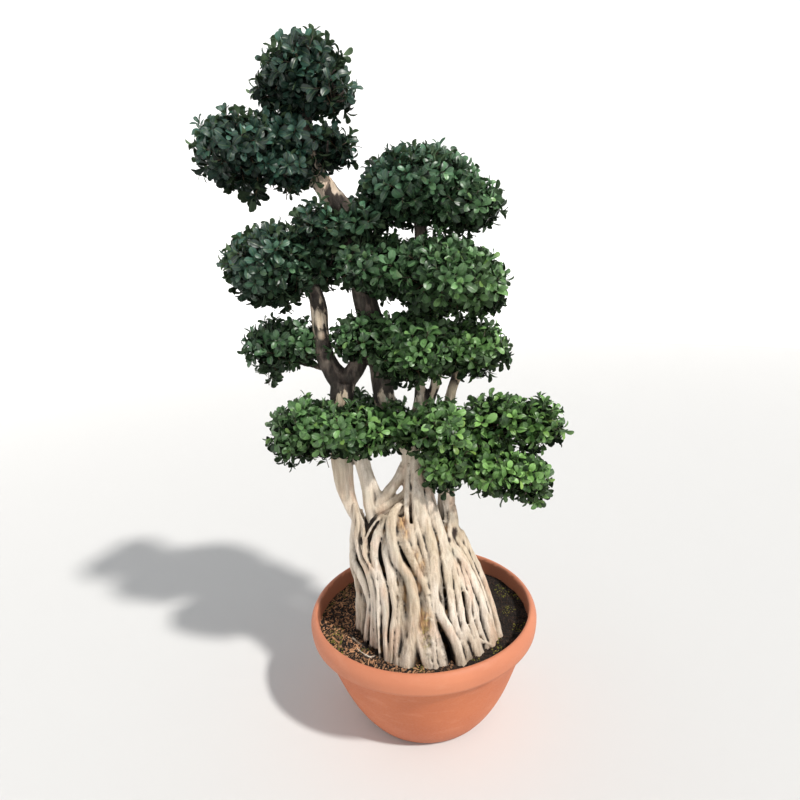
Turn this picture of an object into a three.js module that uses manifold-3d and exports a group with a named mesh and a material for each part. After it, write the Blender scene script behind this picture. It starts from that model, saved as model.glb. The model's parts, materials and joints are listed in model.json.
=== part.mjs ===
// A large rubber plant bonsai in its bowl pot: a curtain of fused roots, several stems
// and clipped pads of round leaves. Millimetres, +Z up. The origin is the middle of the
// pot's underside, and the front of the tree looks towards -Y.

import * as THREE from "three";
import { mergeVertices } from "three/addons/utils/BufferGeometryUtils.js";
import Module from "manifold-3d";

const wasm = await Module();
wasm.setup();

// Driving dimensions of the pot
const RIM_RADIUS = 350;
const POT_HEIGHT = 356;
const RIM_BAND = 63;
const BASE_RADIUS = 195;
const NECK_RADIUS = 333;
const BELLY_LOW = 276;
const BELLY_HIGH = 284;
const WALL = 7;
const FLOOR = 6;
const POT_SIDES = 28;

// Soil, and the small clearance that every fitted piece keeps
const SOIL_LEVEL = 300;
const SOIL_MOUND = 7;
const SOIL_BUMP = 2.5;
const FIT = 0.4;
const HOLE_FIT = 0.9;
const SLIVER = 0.01;

// Leaves are drawn about twice life size here, so that they still clothe the pads
const LEAF_LENGTH = 74;
const LEAVES_IN_WHORL = 5;
// Corners of a leaf as shares of its length: outwards, to the side, and how far it droops
const LEAF_OUTLINE = [[0.56, -0.31, 3.5], [0.95, -0.17, 1], [0.98, 0.17, 1], [0.58, 0.31, 3.5]];
const LEAF_RISE = [-0.15, 0.35];

// Whorls stand a little off the pad's core, rooted in it, larger ones first
const LEAF_REACH = 27;
const WHORL_SIZES = [1, 0.8, 0.6];
const WHORL_SPACING = 0.67;
const WHORL_LIFT = 14;
const WHORL_SINK = 40;
const WHORL_VALLEY = 0.17;
const WHORL_CROWN = 6;
const LEAF_VARIES = [0.86, 1.14];
const LEAF_TURN = 0.25;
const WHORL_TILT = 0.3;
const WHORL_WANDER = 0.5;
const AREA_PER_PLACE = 7200;
const LOWEST_PLACE = -0.66;
const LOBE_MARGIN = 6;
const CORE_SWELL = 1.08;
const SEED = 42;

// Root skirt: height, middle across and deep, half width across and deep
const SKIRT = [
  [240, 15, -55, 212, 190],
  [290, 15, -55, 207, 185],
  [450, 0, -60, 183, 140],
  [560, -32, -65, 170, 112],
  [650, -45, -65, 142, 90],
  [740, -50, -60, 140, 75],
  [820, -50, -55, 140, 70],
];
const CORE_HEIGHTS = [250, 300, 450, 600, 690, 725];
const CORE_SHARE = [0.95, 0.95, 0.95, 0.91, 0.72, 0.42];
const CORE_SIDES = 7;
const ROOT_END = 258;
const ROOT_SEAT = 0.99;
const ROOT_STEP = 110;
const ROOT_SIDES = 5;
const STEM_SIDES = 7;
const THICK_STEM = 16;

// Front roots, left to right: radius at the top and foot, then the course as
// [degrees round the skirt, height], where -90 degrees is the front
const FRONT_ROOTS = [
  [14, 13, [[-158, 714], [-172, 655], [-177, 605], [-164, 560], [-151, 520], [-149, 450], [-155, 360],
    [-160, 300]]],
  [13, 10, [[-152, 684], [-160, 630], [-148, 590], [-137, 540], [-140, 460], [-145, 370], [-147, 300]]],
  [12, 9, [[-142, 650], [-134, 590], [-127, 530], [-131, 460], [-136, 380], [-135, 300]]],
  [11, 12, [[-113, 695], [-123, 652], [-126, 600], [-121, 520], [-126, 440], [-129, 370], [-129, 300]]],
  [12, 11, [[-108, 690], [-112, 620], [-111, 540], [-115, 456], [-120, 388], [-124, 300]]],
  [20, 22, [[-98, 722], [-103, 660], [-101, 600], [-94, 550], [-97, 480], [-103, 390], [-110, 300]]],
  [10, 12, [[-102, 540], [-110, 460], [-115, 390], [-118, 300]]],
  [12, 13, [[-99, 440], [-97, 380], [-93, 300]]],
  [9, 9, [[-84, 700], [-82, 630], [-86, 540], [-89, 450], [-91, 370], [-88, 300]]],
  [11, 9, [[-74, 700], [-72, 610], [-76, 540], [-81, 470], [-84, 400], [-82, 300]]],
  [17, 19, [[-68, 760], [-63, 690], [-61, 620], [-68, 550], [-76, 490], [-75, 430], [-69, 360], [-68, 300]]],
  [15, 13, [[-56, 750], [-47, 690], [-46, 620], [-54, 550], [-62, 480], [-66, 410], [-60, 300]]],
  [13, 13, [[-42, 610], [-48, 530], [-56, 460], [-58, 400], [-53, 300]]],
  [11, 11, [[-36, 620], [-42, 540], [-44, 470], [-49, 410], [-47, 300]]],
  [11, 10, [[-34, 550], [-39, 480], [-42, 400], [-40, 300]]],
  [17, 15, [[-32, 620], [-27, 550], [-28, 470], [-29, 400], [-34, 300]]],
  [15, 15, [[-20, 620], [-17, 550], [-19, 470], [-22, 390], [-27, 300]]],
  [19, 20, [[-12, 650], [-7, 580], [-4, 510], [-6, 430], [-12, 350], [-17, 300]]],
];
// Rear roots are ridges of the fused mass: how far they stand out and sink between
const REAR_ROOTS = 17;
const REAR_FROM = -4;
const REAR_TO = 196;
const RIDGE_OUT = 0.07;
const RIDGE_IN = -0.04;
const RIDGE_WANDER = 3.2;

// Stems, branches and the arms that cross the hollow: radii, then points
const STEMS = [
  // Outer and inner left stems, which fuse above the lowest pad
  [[24, 18, 24, 29, 30, 30, 33],
    [[-150, -62, 610], [-182, -62, 695], [-204, -58, 775], [-211, -52, 850], [-208, -42, 930],
      [-201, -32, 1015], [-188, -25, 1078]]],
  [[22, 18, 19, 20, 18],
    [[-122, -72, 620], [-135, -68, 700], [-141, -63, 787], [-152, -55, 860], [-190, -42, 930]]],
  // Arms between the inner left stem and the middle stem
  [[8, 7, 8], [[-136, -62, 850], [-122, -68, 800], [-108, -75, 742]]],
  [[17, 16, 15], [[-22, -60, 835], [-66, -70, 775], [-122, -74, 712]]],
  [[10, 10, 11], [[-18, -72, 770], [-66, -86, 735], [-118, -86, 706]]],
  // Diagonal root over the hollow
  [[10, 11, 10, 9], [[-8, -88, 765], [-40, -112, 722], [-92, -112, 690], [-128, -100, 640]]],
  // Middle stem, which becomes the leaning main trunk up to the apex
  [[40, 34, 26, 27, 29, 30, 31, 31, 30, 28, 27, 24, 19, 12],
    [[-12, -62, 620], [-12, -62, 735], [-6, -58, 810], [-14, -52, 880], [-48, -42, 950], [-74, -30, 1020],
      [-76, -16, 1110], [-92, -4, 1210], [-112, 4, 1310], [-128, 4, 1420], [-146, 2, 1530],
      [-192, 0, 1592], [-228, 0, 1660], [-226, 0, 1845]]],
  // Fork of the left stem, its left arm into the middle left pad and its right arm to the trunk
  [[30, 25, 24, 22, 21, 18, 11],
    [[-188, -25, 1070], [-222, -20, 1122], [-236, -15, 1165], [-240, -12, 1225], [-240, -10, 1285],
      [-252, -8, 1345], [-300, -8, 1405]]],
  [[28, 24, 21, 18], [[-188, -25, 1070], [-150, -18, 1115], [-124, -8, 1170], [-104, 0, 1245]]],
  // Right hand stem of the fork above the middle stem, up to the upper right pad
  [[22, 18, 17, 18, 21, 18, 15, 11],
    [[-10, -56, 865], [10, -50, 935], [21, -46, 1007], [28, -42, 1100], [36, -40, 1210],
      [44, -36, 1310], [50, -24, 1440], [54, -12, 1575]]],
  [[15, 14, 13, 9], [[8, -50, 925], [42, -46, 990], [60, -44, 1040], [92, -42, 1140]]],
  // Right stem
  [[34, 28, 26, 22, 18, 15, 13, 9],
    [[92, -64, 560], [86, -62, 650], [87, -60, 725], [90, -56, 810], [97, -50, 910], [109, -46, 1020],
      [126, -43, 1075], [162, -40, 1145]]],
  // Branches that carry the pads
  [[16, 14, 11], [[-205, 0, 1610], [-290, 0, 1632], [-352, -14, 1662]]],
  [[13, 11, 8], [[-136, 4, 1450], [-131, 60, 1484], [-130, 112, 1508]]],
  [[11, 9, 7], [[-212, -20, 1112], [-275, -4, 1130], [-346, 18, 1150]]],
  [[12, 10, 8], [[-206, -42, 925], [-196, 20, 940], [-186, 76, 938]]],
  [[15, 13, 10], [[90, -56, 800], [150, -58, 842], [206, -48, 892]]],
  [[13, 11, 8], [[95, -58, 780], [150, -72, 800], [206, -86, 806]]],
];

// Foliage pads: colour, then lobes as centre x, y, z and half sizes to the leaf tips
const PADS = {
  pad_apex: ["#1d3529", [
    [-223, 0, 1858, 113, 125, 104], [-156, -48, 1812, 68, 82, 62], [-318, 28, 1846, 70, 90, 66]]],
  pad_upper_left: ["#1f392b", [
    [-396, -40, 1689, 118, 130, 101], [-298, 38, 1724, 95, 130, 78], [-194, 20, 1694, 98, 102, 64],
    [-278, -20, 1641, 82, 96, 57]]],
  pad_upper_right: ["#25412b", [
    [56, 20, 1582, 165, 165, 109], [168, -48, 1528, 97, 120, 77], [-36, 58, 1582, 84, 120, 86]]],
  pad_behind: ["#1b3026", [
    [-134, 136, 1512, 84, 92, 76], [-104, 10, 1500, 76, 120, 62]]],
  pad_middle_left: ["#25422b", [
    [-349, -40, 1401, 124, 140, 112], [-234, 38, 1424, 94, 140, 104], [-222, -45, 1501, 80, 86, 64]]],
  pad_middle_right: ["#2b4a2c", [
    [-41, 20, 1376, 127, 150, 92], [91, -78, 1349, 131, 150, 113], [198, -12, 1321, 84, 130, 98],
    [49, 108, 1376, 124, 110, 84], [-110, -66, 1388, 76, 76, 68]]],
  pad_lower_left: ["#2c4c2b", [
    [-374, 28, 1178, 95, 110, 85], [-290, 20, 1188, 72, 92, 68]]],
  pad_lower_right: ["#2f502d", [
    [-116, -12, 1194, 104, 114, 72], [17, -58, 1163, 123, 150, 107], [167, 0, 1144, 124, 140, 88]]],
  pad_low_left: ["#2f522c", [
    [-296, -58, 953, 114, 112, 94], [-176, -98, 953, 117, 125, 90], [-62, -72, 957, 80, 112, 80]]],
  pad_low_back: ["#2b4a2a", [
    [-178, 104, 938, 112, 96, 82]]],
  pad_low_middle: ["#335830", [
    [68, -108, 946, 92, 114, 85], [82, -112, 862, 78, 90, 106]]],
  pad_low_right: ["#36592f", [
    [249, -30, 941, 114, 110, 76], [343, -50, 926, 86, 90, 84], [194, -52, 874, 74, 90, 86],
    [226, -90, 808, 100, 100, 76], [316, -82, 780, 80, 86, 76]]],
};
const UNDERSIDE = 0.85;

function seeded(seed) {
  let state = seed;
  return function draw() {
    state = (state + 0x6d2b79f5) | 0;
    let mixed = Math.imul(state ^ (state >>> 15), 1 | state);
    mixed = (mixed + Math.imul(mixed ^ (mixed >>> 7), 61 | mixed)) ^ mixed;
    return ((mixed ^ (mixed >>> 14)) >>> 0) / 4294967296;
  };
}

// A value read along a list of evenly spaced values
function along(values, share) {
  const place = share * (values.length - 1);
  const low = Math.min(Math.floor(place), values.length - 2);
  return THREE.MathUtils.lerp(values[low], values[low + 1], place - low);
}

// Closed geometry to solid: shared corners merged, collapsed triangles dropped
function solid(geometry) {
  geometry.deleteAttribute("normal");
  geometry.deleteAttribute("uv");
  const merged = mergeVertices(geometry, 1e-3);
  const index = merged.index.array;
  const kept = [];
  for (let i = 0; i < index.length; i += 3) {
    const [a, b, c] = index.slice(i, i + 3);
    if (a !== b && b !== c && c !== a) kept.push(a, b, c);
  }
  return new wasm.Manifold(new wasm.Mesh({
    numProp: 3,
    vertProperties: new Float32Array(merged.attributes.position.array),
    triVerts: new Uint32Array(kept),
  }));
}

// The largest body of a cut solid, without the loose scraps
function largest(body) {
  const pieces = body.decompose();
  return pieces.reduce((best, piece) => (piece.volume() > best.volume() ? piece : best));
}

function geometryOf(body) {
  const raw = body.getMesh();
  const geometry = new THREE.BufferGeometry();
  geometry.setAttribute("position", new THREE.BufferAttribute(raw.vertProperties, 3));
  geometry.setIndex(new THREE.BufferAttribute(raw.triVerts, 1));
  return geometry;
}

// How many corners lie so close to another that rounding could merge the two
function slivers(body) {
  const geometry = geometryOf(body);
  return geometry.attributes.position.count - mergeVertices(geometry, SLIVER).attributes.position.count;
}

function mesh(name, body, color, roughness) {
  const geometry = geometryOf(body);
  geometry.computeVertexNormals();
  const material = new THREE.MeshStandardMaterial({ color, roughness, metalness: 0, flatShading: true });
  const made = new THREE.Mesh(geometry, material);
  made.name = name;
  return made;
}

function turned(profile) {
  const points = profile.map(([radius, height]) => new THREE.Vector2(radius, height));
  return new THREE.LatheGeometry(points, POT_SIDES).rotateX(Math.PI / 2);
}

// Pot body: one long curve from the foot to the neck under the rim band
function bodyRadius(height) {
  const t = height / (POT_HEIGHT - RIM_BAND);
  const s = 1 - t;
  const belly = 3 * s * s * t * BELLY_LOW + 3 * s * t * t * BELLY_HIGH;
  return s ** 3 * BASE_RADIUS + belly + t ** 3 * NECK_RADIUS;
}

const NECK = POT_HEIGHT - RIM_BAND;
const WALL_STEPS = [0.18, 0.38, 0.6, 0.8, 1];
const INNER_WALL = [
  [bodyRadius(FLOOR) - WALL, FLOOR],
  ...WALL_STEPS.map((step) => [bodyRadius(step * NECK) - WALL, step * NECK]),
];

function makePot() {
  const outside = [[0, 0], [BASE_RADIUS - 4, 0], [bodyRadius(FLOOR), FLOOR]];
  WALL_STEPS.forEach((step) => outside.push([bodyRadius(step * NECK), step * NECK]));
  const rim = [
    [RIM_RADIUS - 6, NECK],
    [RIM_RADIUS - 2, NECK + 0.2 * RIM_BAND],
    [RIM_RADIUS, NECK + 0.55 * RIM_BAND],
    [RIM_RADIUS - 5, POT_HEIGHT - 9],
    [RIM_RADIUS - 13, POT_HEIGHT - 1.5],
    [RIM_RADIUS - 19, POT_HEIGHT],
    [RIM_RADIUS - 24, POT_HEIGHT - 4],
    [RIM_RADIUS - 26, POT_HEIGHT - 14],
  ];
  return solid(turned([...outside, ...rim, ...INNER_WALL.toReversed(), [0, FLOOR]]));
}

// Soil level at a place: a low mound round the roots, with small lumps
function soilHeight(x, y) {
  const away = Math.hypot(x - SKIRT[1][1], y - SKIRT[1][2]) / RIM_RADIUS;
  const lumps = Math.sin(x / 31) * Math.cos(y / 27) + 0.6 * Math.sin((x + 2 * y) / 19);
  return SOIL_LEVEL + SOIL_MOUND * Math.exp(-3 * away * away) + SOIL_BUMP * lumps;
}

function makeSoil(holes) {
  const edge = INNER_WALL.map(([radius, height]) => [radius - FIT - 0.1, height + FIT]);
  const rimOfSoil = bodyRadius(NECK) - WALL - FIT - 0.1;
  const top = [[rimOfSoil, SOIL_LEVEL], [290, SOIL_LEVEL], [240, SOIL_LEVEL], [0, SOIL_LEVEL]];
  const geometry = turned([[0, FLOOR + FIT], ...edge, ...top]);
  const position = geometry.attributes.position;
  for (let i = 0; i < position.count; i += 1) {
    const x = position.getX(i);
    const y = position.getY(i);
    const inside = Math.hypot(x, y) < rimOfSoil - 1;
    if (position.getZ(i) === SOIL_LEVEL && inside) position.setZ(i, soilHeight(x, y));
  }
  return largest(solid(geometry).subtract(holes));
}

function skirtAt(height) {
  let row = 0;
  while (row < SKIRT.length - 2 && height > SKIRT[row + 1][0]) row += 1;
  const share = (height - SKIRT[row][0]) / (SKIRT[row + 1][0] - SKIRT[row][0]);
  return SKIRT[row].map((value, i) => THREE.MathUtils.lerp(value, SKIRT[row + 1][i], share));
}

function onSkirt(degrees, height, scale) {
  const [, x, y, across, deep] = skirtAt(height);
  const angle = THREE.MathUtils.degToRad(degrees);
  return new THREE.Vector3(x + scale * across * Math.cos(angle), y + scale * deep * Math.sin(angle), height);
}

// A round bar bent along a smooth path, with its radius changing on the way
function limb(points, radii, sides, steps, grow) {
  const path = new THREE.CatmullRomCurve3(points, false, "centripetal");
  const frames = path.computeFrenetFrames(steps, false);
  const geometry = new THREE.CylinderGeometry(1, 1, 1, sides, steps);
  const position = geometry.attributes.position;
  for (let i = 0; i < position.count; i += 1) {
    const step = Math.round((0.5 - position.getY(i)) * steps);
    const radius = along(radii, step / steps) + grow;
    const place = path.getPointAt(step / steps);
    if (step === 0) place.addScaledVector(frames.tangents[0], -grow);
    if (step === steps) place.addScaledVector(frames.tangents[steps], grow);
    place.addScaledVector(frames.normals[step], position.getX(i) * radius);
    place.addScaledVector(frames.binormals[step], position.getZ(i) * radius);
    position.setXYZ(i, place.x, place.y, place.z);
  }
  return solid(geometry);
}

// Columns round the fused root mass: degrees, and how far each stands out. Three make
// a ridge at the rear, and plain ones run behind the separate front roots. A grown mass
// has wider ridges too, so that their flanks keep clear of the soil.
function massColumns(grow) {
  const columns = [];
  const pitch = (REAR_TO - REAR_FROM) / REAR_ROOTS;
  for (let i = 0; i < REAR_ROOTS; i += 1) {
    const start = REAR_FROM + i * pitch;
    const flank = (0.32 - 0.1 * grow) * pitch;
    columns.push([start, RIDGE_IN, i], [start + flank, RIDGE_OUT, i], [start + pitch - flank, RIDGE_OUT, i]);
  }
  const rest = 360 - (REAR_TO - REAR_FROM);
  for (let i = 0; i < CORE_SIDES; i += 1) columns.push([REAR_TO + (i * rest) / CORE_SIDES, 0, -1]);
  return columns;
}

// The fused root mass behind the separate roots
function rootMass(grow) {
  const columns = massColumns(grow);
  const rows = CORE_HEIGHTS.length;
  const corners = [];
  const faces = [];
  for (let row = 0; row < rows; row += 1) {
    const height = CORE_HEIGHTS[row] - (row === 0 ? grow : 0);
    const fade = 1 - (row / (rows - 1)) ** 3;
    for (const [degrees, out, ridge] of columns) {
      const calm = ridge < 0 ? 0 : Math.sin((Math.PI * (ridge + 0.5)) / REAR_ROOTS);
      const wander = RIDGE_WANDER * calm * Math.sin(row * 1.4 + ridge * 0.6);
      const place = onSkirt(degrees + wander, height, CORE_SHARE[row] + out * fade);
      const angle = THREE.MathUtils.degToRad(degrees);
      corners.push(place.x + grow * Math.cos(angle), place.y + grow * Math.sin(angle), height);
    }
  }
  const around = columns.length;
  const [low, high] = [0, rows - 1].map((row) => onSkirt(0, CORE_HEIGHTS[row], 0));
  corners.push(low.x, low.y, CORE_HEIGHTS[0] - grow, high.x, high.y, CORE_HEIGHTS[rows - 1]);
  for (let k = 0; k < around; k += 1) {
    const next = (k + 1) % around;
    for (let row = 0; row < rows - 1; row += 1) {
      const [a, b] = [row * around + k, row * around + next];
      faces.push(a, b, b + around, a, b + around, a + around);
    }
    faces.push(rows * around, next, k);
    faces.push(rows * around + 1, (rows - 1) * around + k, (rows - 1) * around + next);
  }
  const geometry = new THREE.BufferGeometry();
  geometry.setAttribute("position", new THREE.Float32BufferAttribute(corners, 3));
  geometry.setIndex(faces);
  return solid(geometry);
}

function makeTrunk(grow) {
  const parts = [rootMass(grow)];
  for (const [top, foot, course] of FRONT_ROOTS) {
    const points = course.map(([degrees, height]) => onSkirt(degrees, height, ROOT_SEAT));
    points.push(onSkirt(course.at(-1)[0], ROOT_END, ROOT_SEAT));
    const steps = Math.max(3, Math.round((course[0][1] - ROOT_END) / ROOT_STEP));
    parts.push(limb(points, [top, (top + foot) / 2, foot], ROOT_SIDES, steps, grow));
  }
  for (const [radii, places] of STEMS) {
    const points = places.map((place) => new THREE.Vector3(...place));
    const sides = radii[0] > THICK_STEM ? STEM_SIDES : ROOT_SIDES;
    parts.push(limb(points, radii, sides, points.length - 1, grow));
  }
  return largest(parts.reduce((whole, part) => whole.add(part)));
}

// One lobe of a pad's inner mass, flatter below than above
function lobe([x, y, z, rx, ry, rz]) {
  const geometry = new THREE.IcosahedronGeometry(CORE_SWELL, 0);
  const position = geometry.attributes.position;
  for (let i = 0; i < position.count; i += 1) {
    const up = position.getZ(i);
    position.setXYZ(
      i,
      x + position.getX(i) * (rx - LEAF_REACH),
      y + position.getY(i) * (ry - LEAF_REACH),
      z + up * (rz - LEAF_REACH) * (up < 0 ? UNDERSIDE : 1),
    );
  }
  return solid(geometry);
}

// A whorl of blunt, round-ended leaves round a short twig that is sunk in the pad.
// It stands along +Z from the origin, and each leaf is ridged along its middle.
function whorl(draw, length, sink) {
  const valley = WHORL_VALLEY * length;
  const corners = [0, 0, WHORL_CROWN];
  const faces = [];
  const count = LEAVES_IN_WHORL;
  const half = Math.PI / count;
  const start = draw() * Math.PI;
  for (let k = 0; k < count; k += 1) {
    const angle = start + 2 * half * k;
    corners.push(valley * Math.cos(angle + half), valley * Math.sin(angle + half), 0);
  }
  const foot = count + 1;
  corners.push(0, 0, -sink);
  for (let k = 0; k < count; k += 1) {
    const angle = start + 2 * half * k + (draw() - 0.5) * LEAF_TURN;
    const reach = length * THREE.MathUtils.lerp(...LEAF_VARIES, draw());
    const rise = THREE.MathUtils.lerp(...LEAF_RISE, draw());
    for (const [far, side, droop] of LEAF_OUTLINE) {
      const out = far * reach * Math.cos(rise);
      const across = side * reach;
      corners.push(
        out * Math.cos(angle) - across * Math.sin(angle),
        out * Math.sin(angle) + across * Math.cos(angle),
        far * reach * Math.sin(rise) - droop,
      );
    }
    const before = 1 + ((k + count - 1) % count);
    const after = 1 + k;
    const [left, tipLeft, tipRight, right] = [1, 2, 3, 4].map((n) => foot + 4 * k + n);
    faces.push(0, before, left, 0, left, tipLeft, 0, tipLeft, tipRight, 0, tipRight, right, 0, right, after);
    faces.push(before, right, left, before, after, right, left, tipRight, tipLeft, left, right, tipRight);
    faces.push(after, before, foot);
  }
  const geometry = new THREE.BufferGeometry();
  geometry.setAttribute("position", new THREE.Float32BufferAttribute(corners, 3));
  geometry.setIndex(faces);
  return geometry;
}

// Places spread evenly over a lobe, each with the way its whorl faces
function placesOn([x, y, z, rx, ry, rz], draw) {
  const [a, b, c] = [rx, ry, rz].map((size) => size - LEAF_REACH);
  const area = (4 * Math.PI * (rx * ry + rx * rz + ry * rz)) / 3;
  const count = Math.round(area / AREA_PER_PLACE);
  const golden = Math.PI * (3 - Math.sqrt(5));
  const turn = draw() * 2 * Math.PI;
  const places = [];
  for (let k = 0; k < count; k += 1) {
    const up = THREE.MathUtils.lerp(1, LOWEST_PLACE, (k + 0.5) / count);
    const ring = Math.sqrt(1 - up * up);
    const angle = turn + golden * k;
    const unit = new THREE.Vector3(ring * Math.cos(angle), ring * Math.sin(angle), up);
    const low = up < 0 ? UNDERSIDE : 1;
    const point = new THREE.Vector3(x + a * unit.x, y + b * unit.y, z + c * low * unit.z);
    const facing = new THREE.Vector3(unit.x / a, unit.y / b, unit.z / c).normalize();
    facing.z += WHORL_TILT;
    facing.x += (draw() - 0.5) * WHORL_WANDER;
    facing.y += (draw() - 0.5) * WHORL_WANDER;
    places.push({ point, facing: facing.normalize() });
  }
  return places;
}

function insideLobe(point, [x, y, z, rx, ry, rz], margin) {
  const a = (rx - LEAF_REACH) + margin;
  const b = (ry - LEAF_REACH) + margin;
  const c = (rz - LEAF_REACH) + margin;
  return ((point.x - x) / a) ** 2 + ((point.y - y) / b) ** 2 + ((point.z - z) / c) ** 2 < 1;
}

// A whorl of leaves in its place on a pad
function whorlAt(place, share, draw) {
  const turn = new THREE.Quaternion().setFromUnitVectors(new THREE.Vector3(0, 0, 1), place.facing);
  const pose = new THREE.Matrix4().makeRotationFromQuaternion(turn);
  pose.setPosition(place.point.clone().addScaledVector(place.facing, WHORL_LIFT));
  return solid(whorl(draw, LEAF_LENGTH * share, WHORL_SINK).applyMatrix4(pose));
}

// A pad's core with whorls joined on, large ones first and smaller ones between them.
// A whorl that would cross anything or leave a sliver is left out.
function leafyPad(core, places, others, draw) {
  let body = core;
  const placed = [];
  for (const share of WHORL_SIZES) {
    for (const place of places) {
      const near = placed.filter((other) => {
        const away = other.point.distanceTo(place.point) / LEAF_LENGTH;
        return away < WHORL_SPACING * (share + other.share);
      });
      if (near.length > 0) continue;
      const leaves = whorlAt(place, share, draw);
      const around = others.concat(placed.map((other) => other.leaves));
      if (!around.every((other) => leaves.intersect(other).isEmpty())) continue;
      const joined = body.add(leaves);
      if (joined.decompose().length > 1 || slivers(joined) > slivers(body)) continue;
      placed.push({ point: place.point, share, leaves });
      body = joined;
    }
  }
  return body;
}

function makePads(trunkRoom) {
  const draw = seeded(SEED);
  const names = Object.keys(PADS);
  const cores = names.map((name) => {
    const whole = PADS[name][1].map(lobe).reduce((body, part) => body.add(part));
    return largest(whole.subtract(trunkRoom));
  });
  const made = [];
  names.forEach((name, n) => {
    const lobes = PADS[name][1];
    const neighbours = cores.filter((core, k) => k > n).concat(made, [trunkRoom]);
    const places = lobes.flatMap((own) => placesOn(own, draw).filter(({ point }) => (
      !lobes.some((other) => other !== own && insideLobe(point, other, LOBE_MARGIN)))));
    made.push(leafyPad(cores[n], places, neighbours, draw));
  });
  return names.map((name, n) => mesh(name, made[n], PADS[name][0], 0.45));
}

const group = new THREE.Group();
const trunk = makeTrunk(0);
const trunkRoom = makeTrunk(FIT);
group.add(mesh("pot", makePot(), "#b5603f", 0.5));
group.add(mesh("soil", makeSoil(makeTrunk(HOLE_FIT)), "#3d2a1e", 0.95));
group.add(mesh("trunk", trunk, "#b8a68c", 0.8));
group.add(...makePads(trunkRoom));

export default group;
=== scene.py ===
import json
import math

import bmesh
import bpy
import numpy as np
from mathutils import Matrix, Vector, noise


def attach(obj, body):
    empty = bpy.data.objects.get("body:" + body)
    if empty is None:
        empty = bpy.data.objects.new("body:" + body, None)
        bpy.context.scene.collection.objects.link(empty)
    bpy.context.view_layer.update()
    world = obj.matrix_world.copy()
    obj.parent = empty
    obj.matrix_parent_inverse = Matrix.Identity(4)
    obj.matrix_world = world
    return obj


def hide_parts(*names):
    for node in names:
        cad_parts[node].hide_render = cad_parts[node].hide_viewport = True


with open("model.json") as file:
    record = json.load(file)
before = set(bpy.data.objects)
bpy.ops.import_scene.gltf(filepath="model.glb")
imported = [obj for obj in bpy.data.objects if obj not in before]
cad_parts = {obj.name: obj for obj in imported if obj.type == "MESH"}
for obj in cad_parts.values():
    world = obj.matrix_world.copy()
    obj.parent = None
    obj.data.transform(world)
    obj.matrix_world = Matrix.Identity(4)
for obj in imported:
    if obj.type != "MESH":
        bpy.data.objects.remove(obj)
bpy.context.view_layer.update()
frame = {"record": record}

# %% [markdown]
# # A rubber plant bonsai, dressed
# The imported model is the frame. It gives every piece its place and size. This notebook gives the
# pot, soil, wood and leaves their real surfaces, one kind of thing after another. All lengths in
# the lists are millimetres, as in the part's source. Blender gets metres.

MM = 0.001
record = frame["record"]
POT_SLOT, SOIL_SLOT, BARK_SLOT = [material["slot"] for material in record["materials"]][:3]
print("slots", POT_SLOT, SOIL_SLOT, BARK_SLOT)

# %% [markdown]
# ## Camera
# The photograph was taken from chest height, 1.7 m in front of the pot, looking down by 14
# degrees and tipped by 3.5 degrees. A 27 mm lens gives its field of view.

# %% Camera
PITCH = math.radians(14.45)
ROLL = math.radians(-3.49)
eye = Vector((-0.032, -1.669, 1.440))
forward = Vector((0, math.cos(PITCH), -math.sin(PITCH)))
level = Vector((1, 0, 0))
above = level.cross(forward)
side = level * math.cos(ROLL) + above * math.sin(ROLL)
top = above * math.cos(ROLL) - level * math.sin(ROLL)
camera = bpy.data.objects.new("camera", bpy.data.cameras.new("camera"))
camera.data.sensor_width = 36
camera.data.lens = 27
camera.matrix_world = Matrix.LocRotScale(
    eye, Matrix((side, top, -forward)).transposed().to_quaternion(), None)
bpy.context.collection.objects.link(camera)
bpy.context.scene.camera = camera
print("camera at", tuple(round(v, 3) for v in eye), "lens", camera.data.lens)

# %% [markdown]
# ## Mesh helpers
# A mesh is made from points and faces with numpy. Extra numbers at its points, such as how deep
# in a groove they lie, go along as attributes, and the materials read them.

# %% Mesh helpers
def make_mesh(name, points, faces, attributes=None, smooth=True):
    data = bpy.data.meshes.new(name)
    data.from_pydata([tuple(p) for p in points], [], [tuple(f) for f in faces])
    data.validate()
    data.shade_smooth() if smooth else data.shade_flat()
    for key, values in (attributes or {}).items():
        add_attribute(data, key, values)
    piece = bpy.data.objects.new(name, data)
    bpy.context.collection.objects.link(piece)
    return piece


def add_attribute(data, key, values):
    layer = data.attributes.new(key, "FLOAT", "POINT")
    layer.data.foreach_set("value", np.asarray(values, dtype=np.float32))


def joined(parts):
    """Several (points, faces, attributes) in one."""
    points, faces, values = [], [], {}
    start = 0
    for part_points, part_faces, attributes in parts:
        points.append(np.asarray(part_points, float))
        faces.extend([[index + start for index in face] for face in part_faces])
        for key, numbers in attributes.items():
            values.setdefault(key, []).append(np.broadcast_to(numbers, len(part_points)))
        start += len(part_points)
    return np.vstack(points), faces, {key: np.concatenate(v) for key, v in values.items()}


def ring_faces(rings, around):
    """The faces between rings of points that follow one another."""
    faces = []
    for row in range(rings - 1):
        for k in range(around):
            a, b = row * around + k, row * around + (k + 1) % around
            faces.append((a, b, b + around, a + around))
    return faces


def turned(profile, around):
    """Points and faces of a profile, given as (radius, height), swept round the Z axis."""
    angles = [2 * math.pi * k / around for k in range(around)]
    points = [(r * math.cos(angle), r * math.sin(angle), h) for r, h in profile for angle in angles]
    return np.array(points), ring_faces(len(profile), around)


def ball(fineness):
    """Points and faces of a ball of radius 1."""
    shaper = bmesh.new()
    bmesh.ops.create_icosphere(shaper, subdivisions=fineness, radius=1)
    points = [vertex.co.copy() for vertex in shaper.verts]
    faces = [[vertex.index for vertex in face.verts] for face in shaper.faces]
    shaper.free()
    return points, faces


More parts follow.
